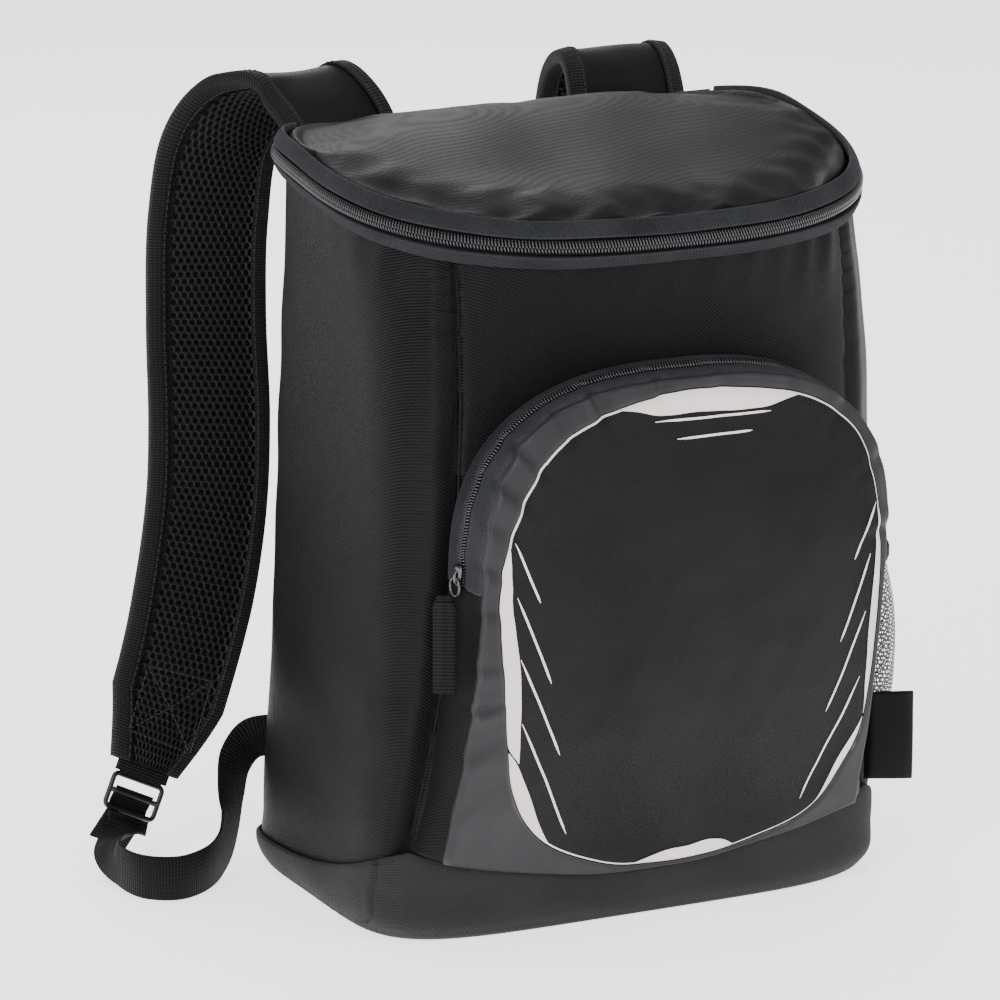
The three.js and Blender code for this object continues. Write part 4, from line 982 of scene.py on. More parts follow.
# %% [markdown]
# One loop of the coil is a short bent bead: it starts low at the tape, rises over the edge and
# ends in a blunt head past the middle line. Both rows share the same bead, turned round and
# set half a step on, so the heads lie between each other.

# %% The coil, loop by loop
BEAD_PATH = {  # how far from the middle line, how high, how thick; in shares of the half width
    "along": (0.0, 0.25, 0.5, 0.75, 1.0),
    "across": (-0.10, 0.16, 0.50, 0.84, 1.0),
    "high": (0.62, 0.80, 0.74, 0.50, 0.05),
    "thick": (0.75, 1.0, 0.82, 1.0, 0.8),
}


BEAD_RINGS = 6
BEAD_SIDES = 5
BEAD_LEAN = 0.22


def coil_mesh(name, centres, runs, acrosses, outs, half, bead):
    """Beads on both sides of a line of places. bead is their thickness."""
    share = np.linspace(0, 1, BEAD_RINGS)
    across = read(BEAD_PATH, "across", share) * half
    high = read(BEAD_PATH, "high", share) * half
    thick = read(BEAD_PATH, "thick", share) * bead / 2
    sides = np.arange(BEAD_SIDES) * 2 * math.pi / BEAD_SIDES
    points, faces = [], []
    step = 0.5 * float(np.linalg.norm(centres[1] - centres[0]))
    for i, (centre, run, side_way, out) in enumerate(zip(centres, runs, acrosses, outs)):
        for side in (-1, 1):
            start = len(points)
            base = centre + run * (step * 0.5 * side)
            for a, h, t in zip(across, high, thick):
                spine = base + side_way * (side * a) + out * h + run * (side * BEAD_LEAN * a)
                for angle in sides:
                    points.append(spine + run * (math.cos(angle) * t) + out * (math.sin(angle) * t))
            for row in range(BEAD_RINGS - 1):
                near = start + row * BEAD_SIDES
                far = near + BEAD_SIDES
                for j in range(BEAD_SIDES):
                    k = (j + 1) % BEAD_SIDES
                    quad = (near + j, near + k, far + k, far + j)
                    faces.append(quad if side < 0 else quad[::-1])
            foot = list(range(start, start + BEAD_SIDES))
            head = list(range(len(points) - BEAD_SIDES, len(points)))
            faces.append(foot[::-1] if side < 0 else foot)
            faces.append(head if side < 0 else head[::-1])
    return rounded_off(new_object(name, points, faces, coil_nylon))


def frames_along(places, normals):
    runs = np.gradient(places, axis=0)
    runs = runs / np.linalg.norm(runs, axis=1, keepdims=True)
    outs = normals - runs * (normals * runs).sum(axis=1, keepdims=True)
    outs = outs / np.linalg.norm(outs, axis=1, keepdims=True)
    return runs, np.cross(runs, outs), outs


COIL_PITCH = 0.00175
coil_count = int(ZIP_LENGTH / COIL_PITCH)
coil_angles, _ = evened(np.linspace(ZIP_ANGLES[0], ZIP_ANGLES[-1], coil_count), 0.006)
centre_line = rim_rows(coil_angles, ((4.3, 0.0), (8.3, 0.0)))
runs, acrosses, outs = frames_along(centre_line[:, 0], centre_line[:, 1] - centre_line[:, 0])
lid_coil = coil_mesh("lid_coil", centre_line[:, 0], runs, acrosses, outs, half=0.0039, bead=0.00125)
COIL_BED = ((0.4, -4.4), (3.6, -4.5), (4.7, -3.9), (4.5, 0.0), (4.7, 3.9), (3.6, 4.5), (0.4, 4.4))
coil_bed = rod("lid_coil_bed", rim_rows(ZIP_ANGLES, COIL_BED), black_webbing)
place(lid_coil, "zip_teeth", "lid_zip_coil")
place(coil_bed, "zip_tape")
print("loops in the lid's coil:", 2 * coil_count, "faces:", len(lid_coil.data.polygons))

# %% [markdown]
# Behind, a plain strip of cloth takes the place of the zip and lets the lid fold back.

# %% The hinge strip
HINGE_CLEAR = 0.0175
HINGE_SECTION = (
    (0.4, -11.0), (1.3, -11.3), (1.9, -10.6), (2.1, -6.0), (1.7, 0.0),
    (2.0, 6.0), (1.9, 10.6), (1.3, 11.3), (0.4, 11.0),
)
hinge_angles = np.linspace(math.pi - LID_ZIP_END + HINGE_CLEAR, LID_ZIP_END - HINGE_CLEAR, 120)
hinge = rod("hinge_strip", rim_rows(hinge_angles, HINGE_SECTION, 0.0003, 47), body_twill)
place(hinge, "body_twill", "lid_hinge")
print("hinge points:", len(hinge.data.vertices))

# %% [markdown]
# ## The front pocket
# The pocket is a second, flatter bag sewn on the front: two side walls, a zip over its arch and
# a full front. Its front has two cloths. A grey taffeta border runs round it, and inside an oval
# seam sits a centre of black twill. A point of the front is named by its direction from the
# middle and its share of the way out, so that both cloths, the oval seam and the print all use
# one surface and meet exactly.

# %% Outlines of the pocket
POCKET_EDGE = {"half": 0.120, "foot": 0.136, "spring": 0.205, "top": 0.315, "square": 2.65}
FACE_EDGE = {"half": 0.119, "foot": 0.125, "spring": 0.205, "top": 0.309, "square": 2.9}
POCKET_DEPTH = 0.032
FACE_CROWN = 0.007
POCKET_PROFILE = {
    "up": (0.0, 0.1, 0.2, 0.33, 0.5, 0.66, 0.84, 1.0),
    "depth": (0.06, 0.12, 0.3, 0.62, 0.9, 1.0, 0.94, 0.68),
}
CROWN = {"out": (0.0, 0.2, 0.5, 0.8, 0.94, 1.0), "crown": (1.0, 1.0, 0.92, 0.62, 0.3, 0.0)}


def arch(size, side, share):
    """A place on an outline: -1 at the foot, 0 where the arch starts, 1 at its top."""
    share = np.asarray(share, float)
    leg_x = mix(size["half"], size["foot"], np.minimum(share, 0) ** 2)
    foot = band_top(leg_x, -FRONT_REACH) + GAP
    leg_z = mix(size["spring"], foot, -share)
    angle = np.clip(share, 0, 1) * math.pi / 2
    square = size["square"]
    radius = (np.abs(np.cos(angle)) ** square + np.sin(angle) ** square) ** (-1 / square)
    arch_x = size["half"] * radius * np.cos(angle)
    arch_z = mix(size["spring"], size["top"], radius * np.sin(angle))
    return side * np.where(share < 0, leg_x, arch_x), np.where(share < 0, leg_z, arch_z)


def pocket_front(z):
    bulge = read(POCKET_PROFILE, "depth", z / FACE_EDGE["top"]) * POCKET_DEPTH
    return -(front_at(0.0, z) + CLOTH + GAP + bulge)


FACE_MIDDLE = np.array([0.0, 0.1685])


def closed_outline():
    """Left leg, arch, right leg and foot of the face, as points across and up."""
    shares = np.linspace(-1, 1, 260)
    left = np.stack(arch(FACE_EDGE, -1, shares), axis=1)
    right = np.stack(arch(FACE_EDGE, 1, shares[::-1][1:]), axis=1)
    x = np.linspace(FACE_EDGE["foot"], -FACE_EDGE["foot"], 120)[1:-1]
    foot = np.stack([x, band_top(x, -FRONT_REACH) + GAP], axis=1)
    return np.concatenate([left, right, foot])


HALF_DEGREES = 720


def reach_from_middle(points, ease=0.0):
    """A function from direction to distance for a closed outline, its corners eased over some degrees."""
    away = points - FACE_MIDDLE
    turn, far = np.arctan2(away[:, 1], away[:, 0]), np.hypot(away[:, 0], away[:, 1])
    order = np.argsort(turn)
    turn, far = turn[order], far[order]
    if ease:
        fine = np.linspace(-math.pi, math.pi, HALF_DEGREES, endpoint=False)
        far = np.interp(fine, turn, far, period=2 * math.pi)
        away = np.mod(np.arange(HALF_DEGREES) + HALF_DEGREES // 2, HALF_DEGREES) - HALF_DEGREES // 2
        weight = np.exp(-((away / (2 * ease)) ** 2))
        far = np.real(np.fft.ifft(np.fft.fft(far) * np.fft.fft(weight / weight.sum())))
        turn = fine

    def reach(angle):
        angle = np.mod(angle + math.pi, 2 * math.pi) - math.pi
        return np.interp(angle, turn, far, period=2 * math.pi)

    return reach


face_reach = reach_from_middle(closed_outline())
OVAL = {  # the seam between the two cloths, in millimetres
    "across": (
        -41, -66, -80, -96, -108, -112, -112, -106, -99, -89, -66, -26,
        0, 22, 60, 98, 114, 118, 118, 115, 106, 95, 65, 6,
    ),
    "up": (
        298, 289, 281, 262, 235, 212, 195, 150, 110, 80, 52, 34,
        30.5, 31, 36, 53, 85, 110, 150, 215, 258, 278, 296, 304,
    ),
}


def rounded(points, between=14):
    """A closed outline drawn softly through its points."""
    before, after, beyond = np.roll(points, 1, 0), np.roll(points, -1, 0), np.roll(points, -2, 0)
    fine = []
    for t in np.arange(between) / between:
        fine.append(0.5 * (
            2 * points + (after - before) * t + (2 * before - 5 * points + 4 * after - beyond) * t**2
            + (3 * points - before - 3 * after + beyond) * t**3
        ))
    return np.array(fine).transpose(1, 0, 2).reshape(-1, 2)


OVAL_EASE = 3.0
OVAL_CLEAR = 0.0012
oval_reach = reach_from_middle(rounded(np.stack([OVAL["across"], OVAL["up"]], axis=1) * MM), OVAL_EASE)
print("face reaches", [round(float(face_reach(a)), 3) for a in (0, 1.57, 3.14, -1.57)])

# %% [markdown]
# The zip tape holds the border in with small tucks. Each tuck is a crisp little fold that points
# to the middle of the pocket and dies out before the oval seam. Down the left edge the border is
# creased along its turn, and the centre cloth lies in two or three broad soft folds.

# %% Depth of the pocket's front, with its folds
TUCKS = {  # direction in degrees, depth in millimetres and width in millimetres of each tuck
    "turn": (22, 38, 52, 66, 82, 97, 112, 121, 131, 139, 147, 156, 166, 181, 193, 204, 216),
    "deep": (2.0, 1.4, 1.9, 1.2, 1.5, 2.0, 3.0, 1.5, 3.6, 3.2, 1.6, 1.9, 1.2, 1.5, 2.2, 1.6, 0.9),
    "wide": (4, 4, 4, 5, 5, 4, 4, 4, 4, 4, 4, 4, 4, 4, 3, 5, 6),
}


def tucks(angle, share, far):
    total = np.zeros(np.broadcast(angle, share).shape)
    for turn, deep, wide in zip(TUCKS["turn"], TUCKS["deep"], TUCKS["wide"]):
        away = np.mod(angle - math.radians(turn) + math.pi, 2 * math.pi) - math.pi
        away = away * far
        shape = fade(away, wide * MM) - 0.7 * fade(away - 1.5 * wide * MM, 1.3 * wide * MM)
        total = total + shape * deep * MM
    return total * fade(1 - share, 0.11)


def face_depth(x, z):
    """How far ahead the front of the pocket is at a place across and up."""
    x, z = np.broadcast_arrays(np.asarray(x, float), np.asarray(z, float))
    away_x, away_z = x - FACE_MIDDLE[0], z - FACE_MIDDLE[1]
    angle, far = np.arctan2(away_z, away_x), np.hypot(away_x, away_z)
    edge = face_reach(angle)
    share = np.minimum(1, far / edge)
    edge_z = FACE_MIDDLE[1] + edge * np.sin(angle)
    depth = mix(pocket_front(z), pocket_front(edge_z), share**4)
    depth = depth - read(CROWN, "crown", share) * FACE_CROWN
    depth = depth + tucks(angle, share, far)
    seam = far - oval_reach(angle)
    depth = depth + 0.0008 * fade(seam, 0.0014) - 0.0005 * fade(seam + 0.005, 0.004)
    soft = fade(share, 0.75)
    slant = x * 0.35 + z
    depth = depth + soft * 0.0020 * ripple(x * 1.2, slant * 0.5, 0.11, 51)
    low = fade(z - 0.075, 0.05) * fade(x - 0.01, 0.09)
    depth = depth + low * 0.0022 * np.sin((x * 0.8 + z * 0.55) * 2 * math.pi / 0.055)
    return depth + 0.0004 * ripple(x, z, 0.03, 53) * (1 - fade(1 - share, 0.03))


def face_points(angle, far):
    x = FACE_MIDDLE[0] + far * np.cos(angle)
    z = FACE_MIDDLE[1] + far * np.sin(angle)
    return np.stack([x, face_depth(x, z), z], axis=-1)


face_turns = np.linspace(-math.pi, math.pi, 420, endpoint=False)
edge_far = face_reach(face_turns)
oval_far = np.minimum(oval_reach(face_turns), edge_far - OVAL_CLEAR)

# %% The grey border, turned back at its edge
border_rows = []
for share in np.concatenate([np.linspace(0, 0.9, 22), [0.95, 0.985, 1.0]]):
    far = mix(oval_far, edge_far, share)
    row = face_points(face_turns, far)
    row[:, 1] += 0.0016 * max(0.0, (share - 0.93) / 0.07) ** 2
    border_rows.append(row)
turned = border_rows[-1].copy()
for back, inward in ((0.0015, 0.0002), (0.0034, 0.0009)):
    row = turned.copy()
    row[:, 1] += back
    row[:, 0] = FACE_MIDDLE[0] + (edge_far - inward) * np.cos(face_turns)
    row[:, 2] = FACE_MIDDLE[1] + (edge_far - inward) * np.sin(face_turns)
    border_rows.append(row)
border = thicken(skin("pocket_border", np.array(border_rows), pocket_taffeta, closed=True), 0.0008)
place(border, "pocket_cloth", "front_pocket_face")

centre_rows = [face_points(face_turns, oval_far * share) for share in np.linspace(1.0, 0.04, 60)]
centre_rows[0][:, 1] += 0.0004
centre = skin("pocket_centre", np.array(centre_rows), centre_twill, closed=True, cap_end=True)
thicken(centre, 0.0014)
place(centre, "pocket_cloth")
print("border faces", len(border.data.polygons), "centre faces", len(centre.data.polygons))

# %% [markdown]
# ## The pale edging
# Pale pink-white ink is printed just inside the oval seam: a hairline that swells into long
# tapering crescents, and a fan of slanting pin stripes on both sides. Printed ink has no
# thickness to speak of, but a thin skin laid a fifth of a millimetre over the cloth shows it
# with clean edges in every view. Each mark is a short row of places with a width.

# %% Lay the print on the cloth
PRINT_LIFT = 0.00022
PRINT_INSIDE = 0.0006


def oval_mark(name, turns, near, far):
    """A stripe inside the oval: two distances in millimetres from the seam at each direction."""
    fine = np.linspace(turns[0], turns[-1], max(24, int(abs(turns[-1] - turns[0]) * 2)))
    angle = np.radians(fine)
    seam = np.minimum(oval_reach(angle), face_reach(angle) - OVAL_CLEAR) - PRINT_INSIDE
    edges = {"turn": turns, "near": near, "far": far}
    outer, inner = (seam - np.maximum(0, read(edges, key, fine)) * MM for key in ("near", "far"))
    rows = np.array([face_points(angle, mix(outer, inner, share)) for share in np.linspace(0, 1, 6)])
    rows[..., 1] -= PRINT_LIFT
    return place(skin(name, rows, pale_print), "pocket_cloth")


def line_mark(name, start, end, width):
    """A pin stripe between two places, in millimetres, tapered towards both ends."""
    share = np.linspace(0, 1, 40)
    start, end = np.array(start, float), np.array(end, float)
    places = (start + (end - start) * share[:, None]) * MM
    way = (end - start) / np.linalg.norm(end - start)
    across = np.array([-way[1], way[0]])
    half = width / 2 * MM * np.clip(np.minimum(share * 4 + 0.3, (1 - share) * 9 + 0.25), 0, 1)
    rows = []
    for edge in (-1, 0, 1):
        at = places + across * (edge * half)[:, None]
        rows.append(np.stack([at[:, 0], face_depth(at[:, 0], at[:, 1]) - PRINT_LIFT, at[:, 1]], axis=1))
    return place(skin(name, np.array(rows), pale_print), "pocket_cloth")


HAIRLINE = 1.0
CRESCENTS = {  # directions in degrees; millimetres in from the seam, of the near and the far edge
    "print_top": {
        "turn": (63, 66, 69, 75, 87.5, 100, 104, 107.6),
        "far": (0.9, 5.0, 8.5, 11.0, 11.5, 8.5, 4.2, 0.9),
    },
    "print_left": {
        "turn": (149.8, 154.3, 162.4, 169.6, 184.9, 195.4, 203.8, 206.5, 213.5),
        "near": (0, 0, 0, 0, 0, 0, 0, 0, 5.2),
        "far": (0.9, 4.2, 6.5, 7.6, 8.7, 8.4, 7.4, 7.0, 5.6),
    },
    "print_lower_left": {
        "turn": (208.8, 213.9, 218.8, 223.9, 229, 233.7, 240.5),
        "far": (0.4, 4.6, 7.0, 8.0, 7.6, 5.5, 0.9),
    },
    "print_bottom": {
        "turn": (265.8, 270, 274.2, 278.7, 286, 288.9, 290.5),
        "far": (0.9, 4.5, 7.4, 7.8, 8.0, 5.0, 0.9),
    },
    "print_lower_right": {
        "turn": (310.6, 315, 320, 325, 329, 331.5),
        "far": (0.9, 3.6, 5.2, 4.6, 2.6, 0.8),
    },
    "print_right": {
        "turn": (332.3, 335, 340, 350, 360, 370, 382, 390.6),
        "far": (0.8, 1.8, 3.8, 5.2, 5.6, 5.0, 3.0, 0.8),
    },
}
for name, edges in CRESCENTS.items():
    turns = np.array(edges["turn"], float)
    oval_mark(name, turns, np.array(edges.get("near", np.zeros(len(turns)))), np.array(edges["far"]))
HAIRLINES = {
    "upper_right": (30.6, 63),
    "upper_left": (107.6, 149.8),
    "bottom_left": (240.5, 265.8),
    "bottom_right": (290.5, 310.6),
}
for name, ends in HAIRLINES.items():
    oval_mark(f"print_{name}", np.array(ends), np.zeros(2), np.full(2, HAIRLINE))
PIN_WIDTH = 1.25
PIN_STRIPES = {
    "pin_left_1": ((-105, 234), (-90, 200)),
    "pin_left_2": ((-103, 204), (-80, 153)),
    "pin_left_3": ((-99, 169), (-69, 109)),
    "pin_left_4": ((-94, 131), (-56, 58)),
    "pin_right_1": ((110, 232), (98, 201)),
    "pin_right_2": ((108, 203), (94, 154)),
    "pin_right_3": ((108, 170), (92, 112)),
    "pin_right_4": ((110, 131), (87, 58)),
    "pin_top_1": ((-22, 289), (47, 288)),
    "pin_top_2": ((-10, 279), (35, 279)),
}
for name, (start, end) in PIN_STRIPES.items():
    line_mark(name, start, end, PIN_WIDTH)
print("printed marks:", len(CRESCENTS) + len(HAIRLINES) + len(PIN_STRIPES))

# %% [markdown]
# ## Walls and zip of the pocket
# The wall of the pocket runs from the seam on the body to the edge of the front. Below the
# zip's ends it is black twill; over the arch it is two zip tapes with the coil between them. All
# of them are strips of the same wall, cut at different shares of its width.

# %% The wall's own places
SEWN_SINK = 0.0008
FACE_INSIDE = 0.0008
FACE_BEHIND = 0.0030
ZIP_PLACE = 0.4
POCKET_COIL = 0.0065
COIL_CLEAR = 0.0003
WALL_SWELL = 0.0016


def wall(side, share):
    """The wall's sewn edge and its edge at the pocket's front, along one side."""
    sewn_x, sewn_z = arch(POCKET_EDGE, side, share)
    face_x, face_z = arch(FACE_EDGE, side, share)
    sewn = np.stack([sewn_x, SEWN_SINK - front_at(sewn_x, sewn_z), sewn_z], axis=-1)
    angle = np.arctan2(face_z - FACE_MIDDLE[1], face_x - FACE_MIDDLE[0])
    far = np.hypot(face_x - FACE_MIDDLE[0], face_z - FACE_MIDDLE[1]) - FACE_INSIDE
    face = face_points(angle, far)
    face[..., 1] += FACE_BEHIND
    return sewn, face


def whole_arch(count):
    """The wall over the whole arch, from the left spring to the right one."""
    share = np.linspace(0, 1, count)
    left = wall(-1, share)
    right = wall(1, share[::-1][1:])
    return tuple(np.concatenate([a, b]) for a, b in zip(left, right))


def wall_out(sewn, face):
    run = np.gradient(sewn + face, axis=0)
    way = np.cross(face - sewn, run)
    return way / np.linalg.norm(way, axis=1, keepdims=True)


def wall_strip(sewn, face, section):
    """Rows along the wall; section(width) gives pairs of how far across the wall and how high."""
    out = wall_out(sewn, face)
    across = face - sewn
    wide = np.linalg.norm(across, axis=1, keepdims=True)
    rows = [sewn + across / wide * reach + out * high for reach, high in section(wide)]
    return np.array(rows).transpose(1, 0, 2)


sewn_edge, face_edge = whole_arch(150)


def coil_edges(wide):
    """Both edges of the coil, as distances across a wall of some width."""
    low = wide * ZIP_PLACE - POCKET_COIL / 2 - COIL_CLEAR
    high = wide * ZIP_PLACE + POCKET_COIL / 2 + COIL_CLEAR
    return low, high


def outer_tape_section(wide):
    low, _ = coil_edges(wide)
    return (
        (0.0, -0.0008), (0.0005, 0.0006), (0.3 * low, 0.0012),
        (0.8 * low, 0.0012), (low, 0.0009), (low, -0.0006),
    )


def inner_tape_section(wide):
    _, high = coil_edges(wide)
    return (
        (high, -0.0006), (high, 0.0012), (mix(high, wide, 0.3), 0.0027),
        (mix(high, wide, 0.8), 0.0026), (wide + 0.0006, 0.0002), (wide + 0.0002, -0.0020),
    )


def coil_bed_section(wide):
    low, high = coil_edges(wide)
    return (low, -0.0008), (low, 0.0), (high, 0.0), (high, -0.0008)


outer_tape = rod("pocket_tape_outer", wall_strip(sewn_edge, face_edge, outer_tape_section), tape_cloth)
inner_tape = rod("pocket_tape_inner", wall_strip(sewn_edge, face_edge, inner_tape_section), tape_cloth)
place(outer_tape, "zip_tape", "pocket_zip_tape_outer")
place(inner_tape, "zip_tape", "pocket_zip_tape_inner")
POCKET_COIL_PITCH = 0.0016
POCKET_COIL_SINK = 0.0002
coil_line = sewn_edge + (face_edge - sewn_edge) * ZIP_PLACE
coil_out = wall_out(sewn_edge, face_edge)
far_along = np.concatenate([[0], np.cumsum(np.linalg.norm(np.diff(coil_line, axis=0), axis=1))])
loops = int(far_along[-1] / POCKET_COIL_PITCH)
even = np.linspace(0, far_along[-1], loops)
centres = np.stack([np.interp(even, far_along, coil_line[:, i]) for i in range(3)], axis=1)
ways = np.stack([np.interp(even, far_along, coil_out[:, i]) for i in range(3)], axis=1)
runs, acrosses, outs = frames_along(centres, ways)
centres = centres - outs * POCKET_COIL_SINK
pocket_coil = coil_mesh("pocket_coil", centres, runs, acrosses, outs, half=0.0029, bead=0.00115)
place(pocket_coil, "zip_teeth", "pocket_zip_coil")
coil_tape = rod("pocket_coil_bed", wall_strip(sewn_edge, face_edge, coil_bed_section), black_webbing)
place(coil_tape, "zip_tape")
print("pocket zip", round(float(far_along[-1]), 3), "m,", 2 * loops, "loops")

# %% The lower walls
def lower_wall_section(wide):
    return [(wide * share, WALL_SWELL * math.sin(math.pi * share)) for share in np.linspace(0, 1, 12)]


def lower_wall(side):
    share = np.linspace(-1, -0.004, 60)
    sewn, face = wall(side, share)
    if side > 0:
        sewn, face = sewn[::-1], face[::-1]
    rows = wall_strip(sewn, face, lower_wall_section)
    crease = 0.0009 * ripple(rows[..., 1], rows[..., 2], 0.035, 61)
    rows = rows + wall_out(sewn, face)[:, None, :] * crease[..., None]
    name = "left" if side < 0 else "right"
    piece = thicken(skin(f"pocket_wall_{name}", rows, body_twill), 0.0016)
    return place(piece, "body_twill", f"front_pocket_gusset_{name}")


for side in (-1, 1):
    lower_wall(side)
print("walls done")

# %% [markdown]
# ## Slider, ring and pull
# The zip is closed down to the left end of the arch. The slider is die-cast, with a narrow nose,
# two flared shoulders and a bridge on top. A wire ring hangs in the bridge, and a ribbed tape
# folded double hangs in the ring, its loose end sewn through with one row of thread.

# %% Fittings of the pocket's zip
def unit(way):
    return way / np.linalg.norm(way)


SLIDER_LONG, SLIDER_WIDE, SLIDER_THICK = 0.012, 0.008, 0.0035
SLIDER_LIFT = 0.0013
LID_SLIDER_SIZE = (0.010, 0.016, 0.0044)
BRIDGE_LONG, BRIDGE_BACK, BRIDGE_HIGH = 0.0036, 0.0008, 0.0012
BRIDGE_BAR = (0.0012, 0.0006)
RING_RADIUS, RING_WIRE = 0.005, 0.0009
PULL_LONG, PULL_WIDE, PULL_THICK = 0.051, 0.0125, 0.0018
PULL_TURN = math.radians(30)

zip_along = unit((sewn_edge[1] + face_edge[1]) - (sewn_edge[0] + face_edge[0]))
zip_across = unit(face_edge[0] - sewn_edge[0])
zip_out = unit(np.cross(zip_across, zip_along))
slider_at = coil_line[0] + zip_along * SLIDER_LONG / 2 + zip_out * (SLIDER_LIFT + SLIDER_THICK / 2)


def squashed_ring(centre, u, v, radius_u, radius_v, square=3.0, count=20):
    angles = np.arange(count) * 2 * math.pi / count
    reach = (np.abs(np.cos(angles)) ** square + np.abs(np.sin(angles)) ** square) ** (-1 / square)
    along_u = (reach * np.cos(angles))[:, None] * u * radius_u
    along_v = (reach * np.sin(angles))[:, None] * v * radius_v
    return centre + along_u + along_v


SLIDER_FORM = {
    "place": (-0.5, -0.44, -0.25, 0.05, 0.3, 0.44, 0.5),
    "wide": (0.35, 0.62, 0.72, 0.95, 1.0, 0.9, 0.6),
    "high": (0.4, 0.7, 0.8, 0.8, 0.8, 0.7, 0.4),
}


def slider_body(name, at, ways, size, node):
    """A slider body; ways are across, along and out, and size is its width, length and thickness."""
    across, along, out = ways
    rings = []
    for share in np.linspace(-0.5, 0.5, 24):
        wide = read(SLIDER_FORM, "wide", share) * size[0] / 2
        high = read(SLIDER_FORM, "high", share) * size[2] / 2
        rings.append(squashed_ring(at + along * share * size[1], across, out, wide, high))
    place(rod(name, np.array(rings), dark_metal), "slider_metal", node)


pocket_ways = (zip_across, zip_along, zip_out)
pocket_slider_size = (SLIDER_WIDE, SLIDER_LONG, SLIDER_THICK)
slider_body("pocket_slider", slider_at, pocket_ways, pocket_slider_size, "pocket_zip_slider")
solid_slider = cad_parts["lid_zip_slider"]
lid_slider_at = np.mean([solid_slider.matrix_world @ v.co for v in solid_slider.data.vertices], axis=0)
lid_slider_out = unit(np.array([lid_slider_at[0] / HALF_WIDTH**2, lid_slider_at[1] / BACK_REACH**2, 0.0]))
lid_slider_along = np.cross([0, 0, 1.0], lid_slider_out)
lid_ways = (np.array([0, 0, 1.0]), lid_slider_along, lid_slider_out)
slider_body("lid_slider", lid_slider_at, lid_ways, LID_SLIDER_SIZE, "lid_zip_slider")
bridge_rings = []
for turn in np.linspace(0, math.pi, 12):
    ahead = BRIDGE_LONG * math.cos(turn) - BRIDGE_BACK
    above = BRIDGE_HIGH + BRIDGE_HIGH * math.sin(turn)
    at = slider_at + zip_along * ahead + zip_out * above
    side_way = zip_along * math.cos(turn) + zip_out * math.sin(turn)
    bridge_rings.append(squashed_ring(at, zip_across, side_way, *BRIDGE_BAR, square=2.4, count=12))
bridge = rod("slider_bridge", np.array(bridge_rings), dark_metal)
place(bridge, "slider_metal")

ring_outer = RING_RADIUS + RING_WIRE
ring_at = slider_at - zip_along * SLIDER_LONG * 0.5 + zip_out * 0.0016
hoop = []
for turn in np.linspace(0, 2 * math.pi, 49)[:-1]:
    away = zip_across * math.cos(turn) + zip_along * math.sin(turn)
    wire_at = ring_at + away * RING_RADIUS
    hoop.append(squashed_ring(wire_at, away, zip_out, RING_WIRE, RING_WIRE, square=2.0, count=12))
hoop.append(hoop[0])
place(skin("pull_ring", np.array(hoop), dark_metal, closed=True), "slider_metal", "pocket_zip_ring")


def ribbon_map(piece, runs, arounds, closed):
    """Keeps each point's length and width in metres, for the ribs of the webbing."""
    layer = piece.data.uv_layers.new(name="ribbon")
    per = len(arounds)
    for polygon in piece.data.polygons:
        spots = [(v // per, v % per) for v in polygon.vertices]
        wraps = closed and {0, per - 1} <= {j for _, j in spots}
        for loop, (i, j) in zip(polygon.loop_indices, spots):
            around = arounds[j] + (arounds[-1] + arounds[1] if wraps and j == 0 else 0)
            layer.data[loop].uv = (runs[min(i, len(runs) - 1)], around)


PULL_SECTION = (
    (-1, -0.6), (-0.9, -1), (0, -1.06), (0.9, -1), (1, -0.6),
    (1, 0.6), (0.9, 1), (0, 1.06), (-0.9, 1), (-1, 0.6),
)
PULL_SEAM = 0.046
FOLD_RADIUS = 0.0016
pull_width = np.array([math.cos(PULL_TURN), -math.sin(PULL_TURN), 0.0])
pull_top = ring_at + zip_out * PULL_WIDE / 2 - np.array([0, 0, ring_outer + GAP])
pull_face = np.cross(np.array([0, 0, 1.0]), pull_width)
rows = []
far = np.linspace(0, PULL_LONG, 60)
for down in far:
    sway = 0.0005 * math.sin(down / PULL_LONG * math.pi * 1.3)
    narrow = PULL_WIDE / 2 * (0.72 + 0.28 * min(1.0, down / 0.004))
    thicker = 0.5 * math.exp(-(((down - 0.002) / 0.002) ** 2))
    swell = PULL_THICK / 2 * (1.0 + thicker - 0.35 * fade(down - PULL_SEAM, 0.0012))
    middle = pull_top - np.array([0, 0, down]) + pull_face * sway
    rows.append([middle + pull_width * (a * narrow) + pull_face * (b * swell) for a, b in PULL_SECTION])
pull = rod("pull_tape", np.array(rows), pull_webbing)
ribbon_map(pull, far, np.arange(len(PULL_SECTION)) * 0.0022, True)
place(pull, "webbing", "pocket_zip_pull")
grip = []
for turn in np.linspace(-0.2, math.pi + 0.2, 14):
    above = np.array([0, 0, FOLD_RADIUS * math.sin(turn) + 0.0004])
    at = pull_top + pull_face * (FOLD_RADIUS * math.cos(turn)) + above
    away = pull_face * math.cos(turn) + np.array([0, 0, math.sin(turn)])
    grip.append(squashed_ring(at, pull_width, away, PULL_WIDE * 0.34, 0.0005, count=14))
grip = rod("pull_fold", np.array(grip), pull_webbing)
ribbon_map(grip, np.linspace(0, 0.006, 14), np.arange(14) * 0.0012, True)
place(grip, "webbing")
print("slider at", [round(float(v), 3) for v in slider_at])
print("pull ends at", round(float(pull_top[2] - PULL_LONG), 3))

# %% [markdown]
# ## Lace: cloth with real holes
# Two pieces are knitted with holes in them: the net of the side pocket and the spacer mesh on
# the straps. Both are made the same way. A flat field is filled with six-sided cells, each a
# ring of cloth round its hole, and a function then lays the flat field on the bag.

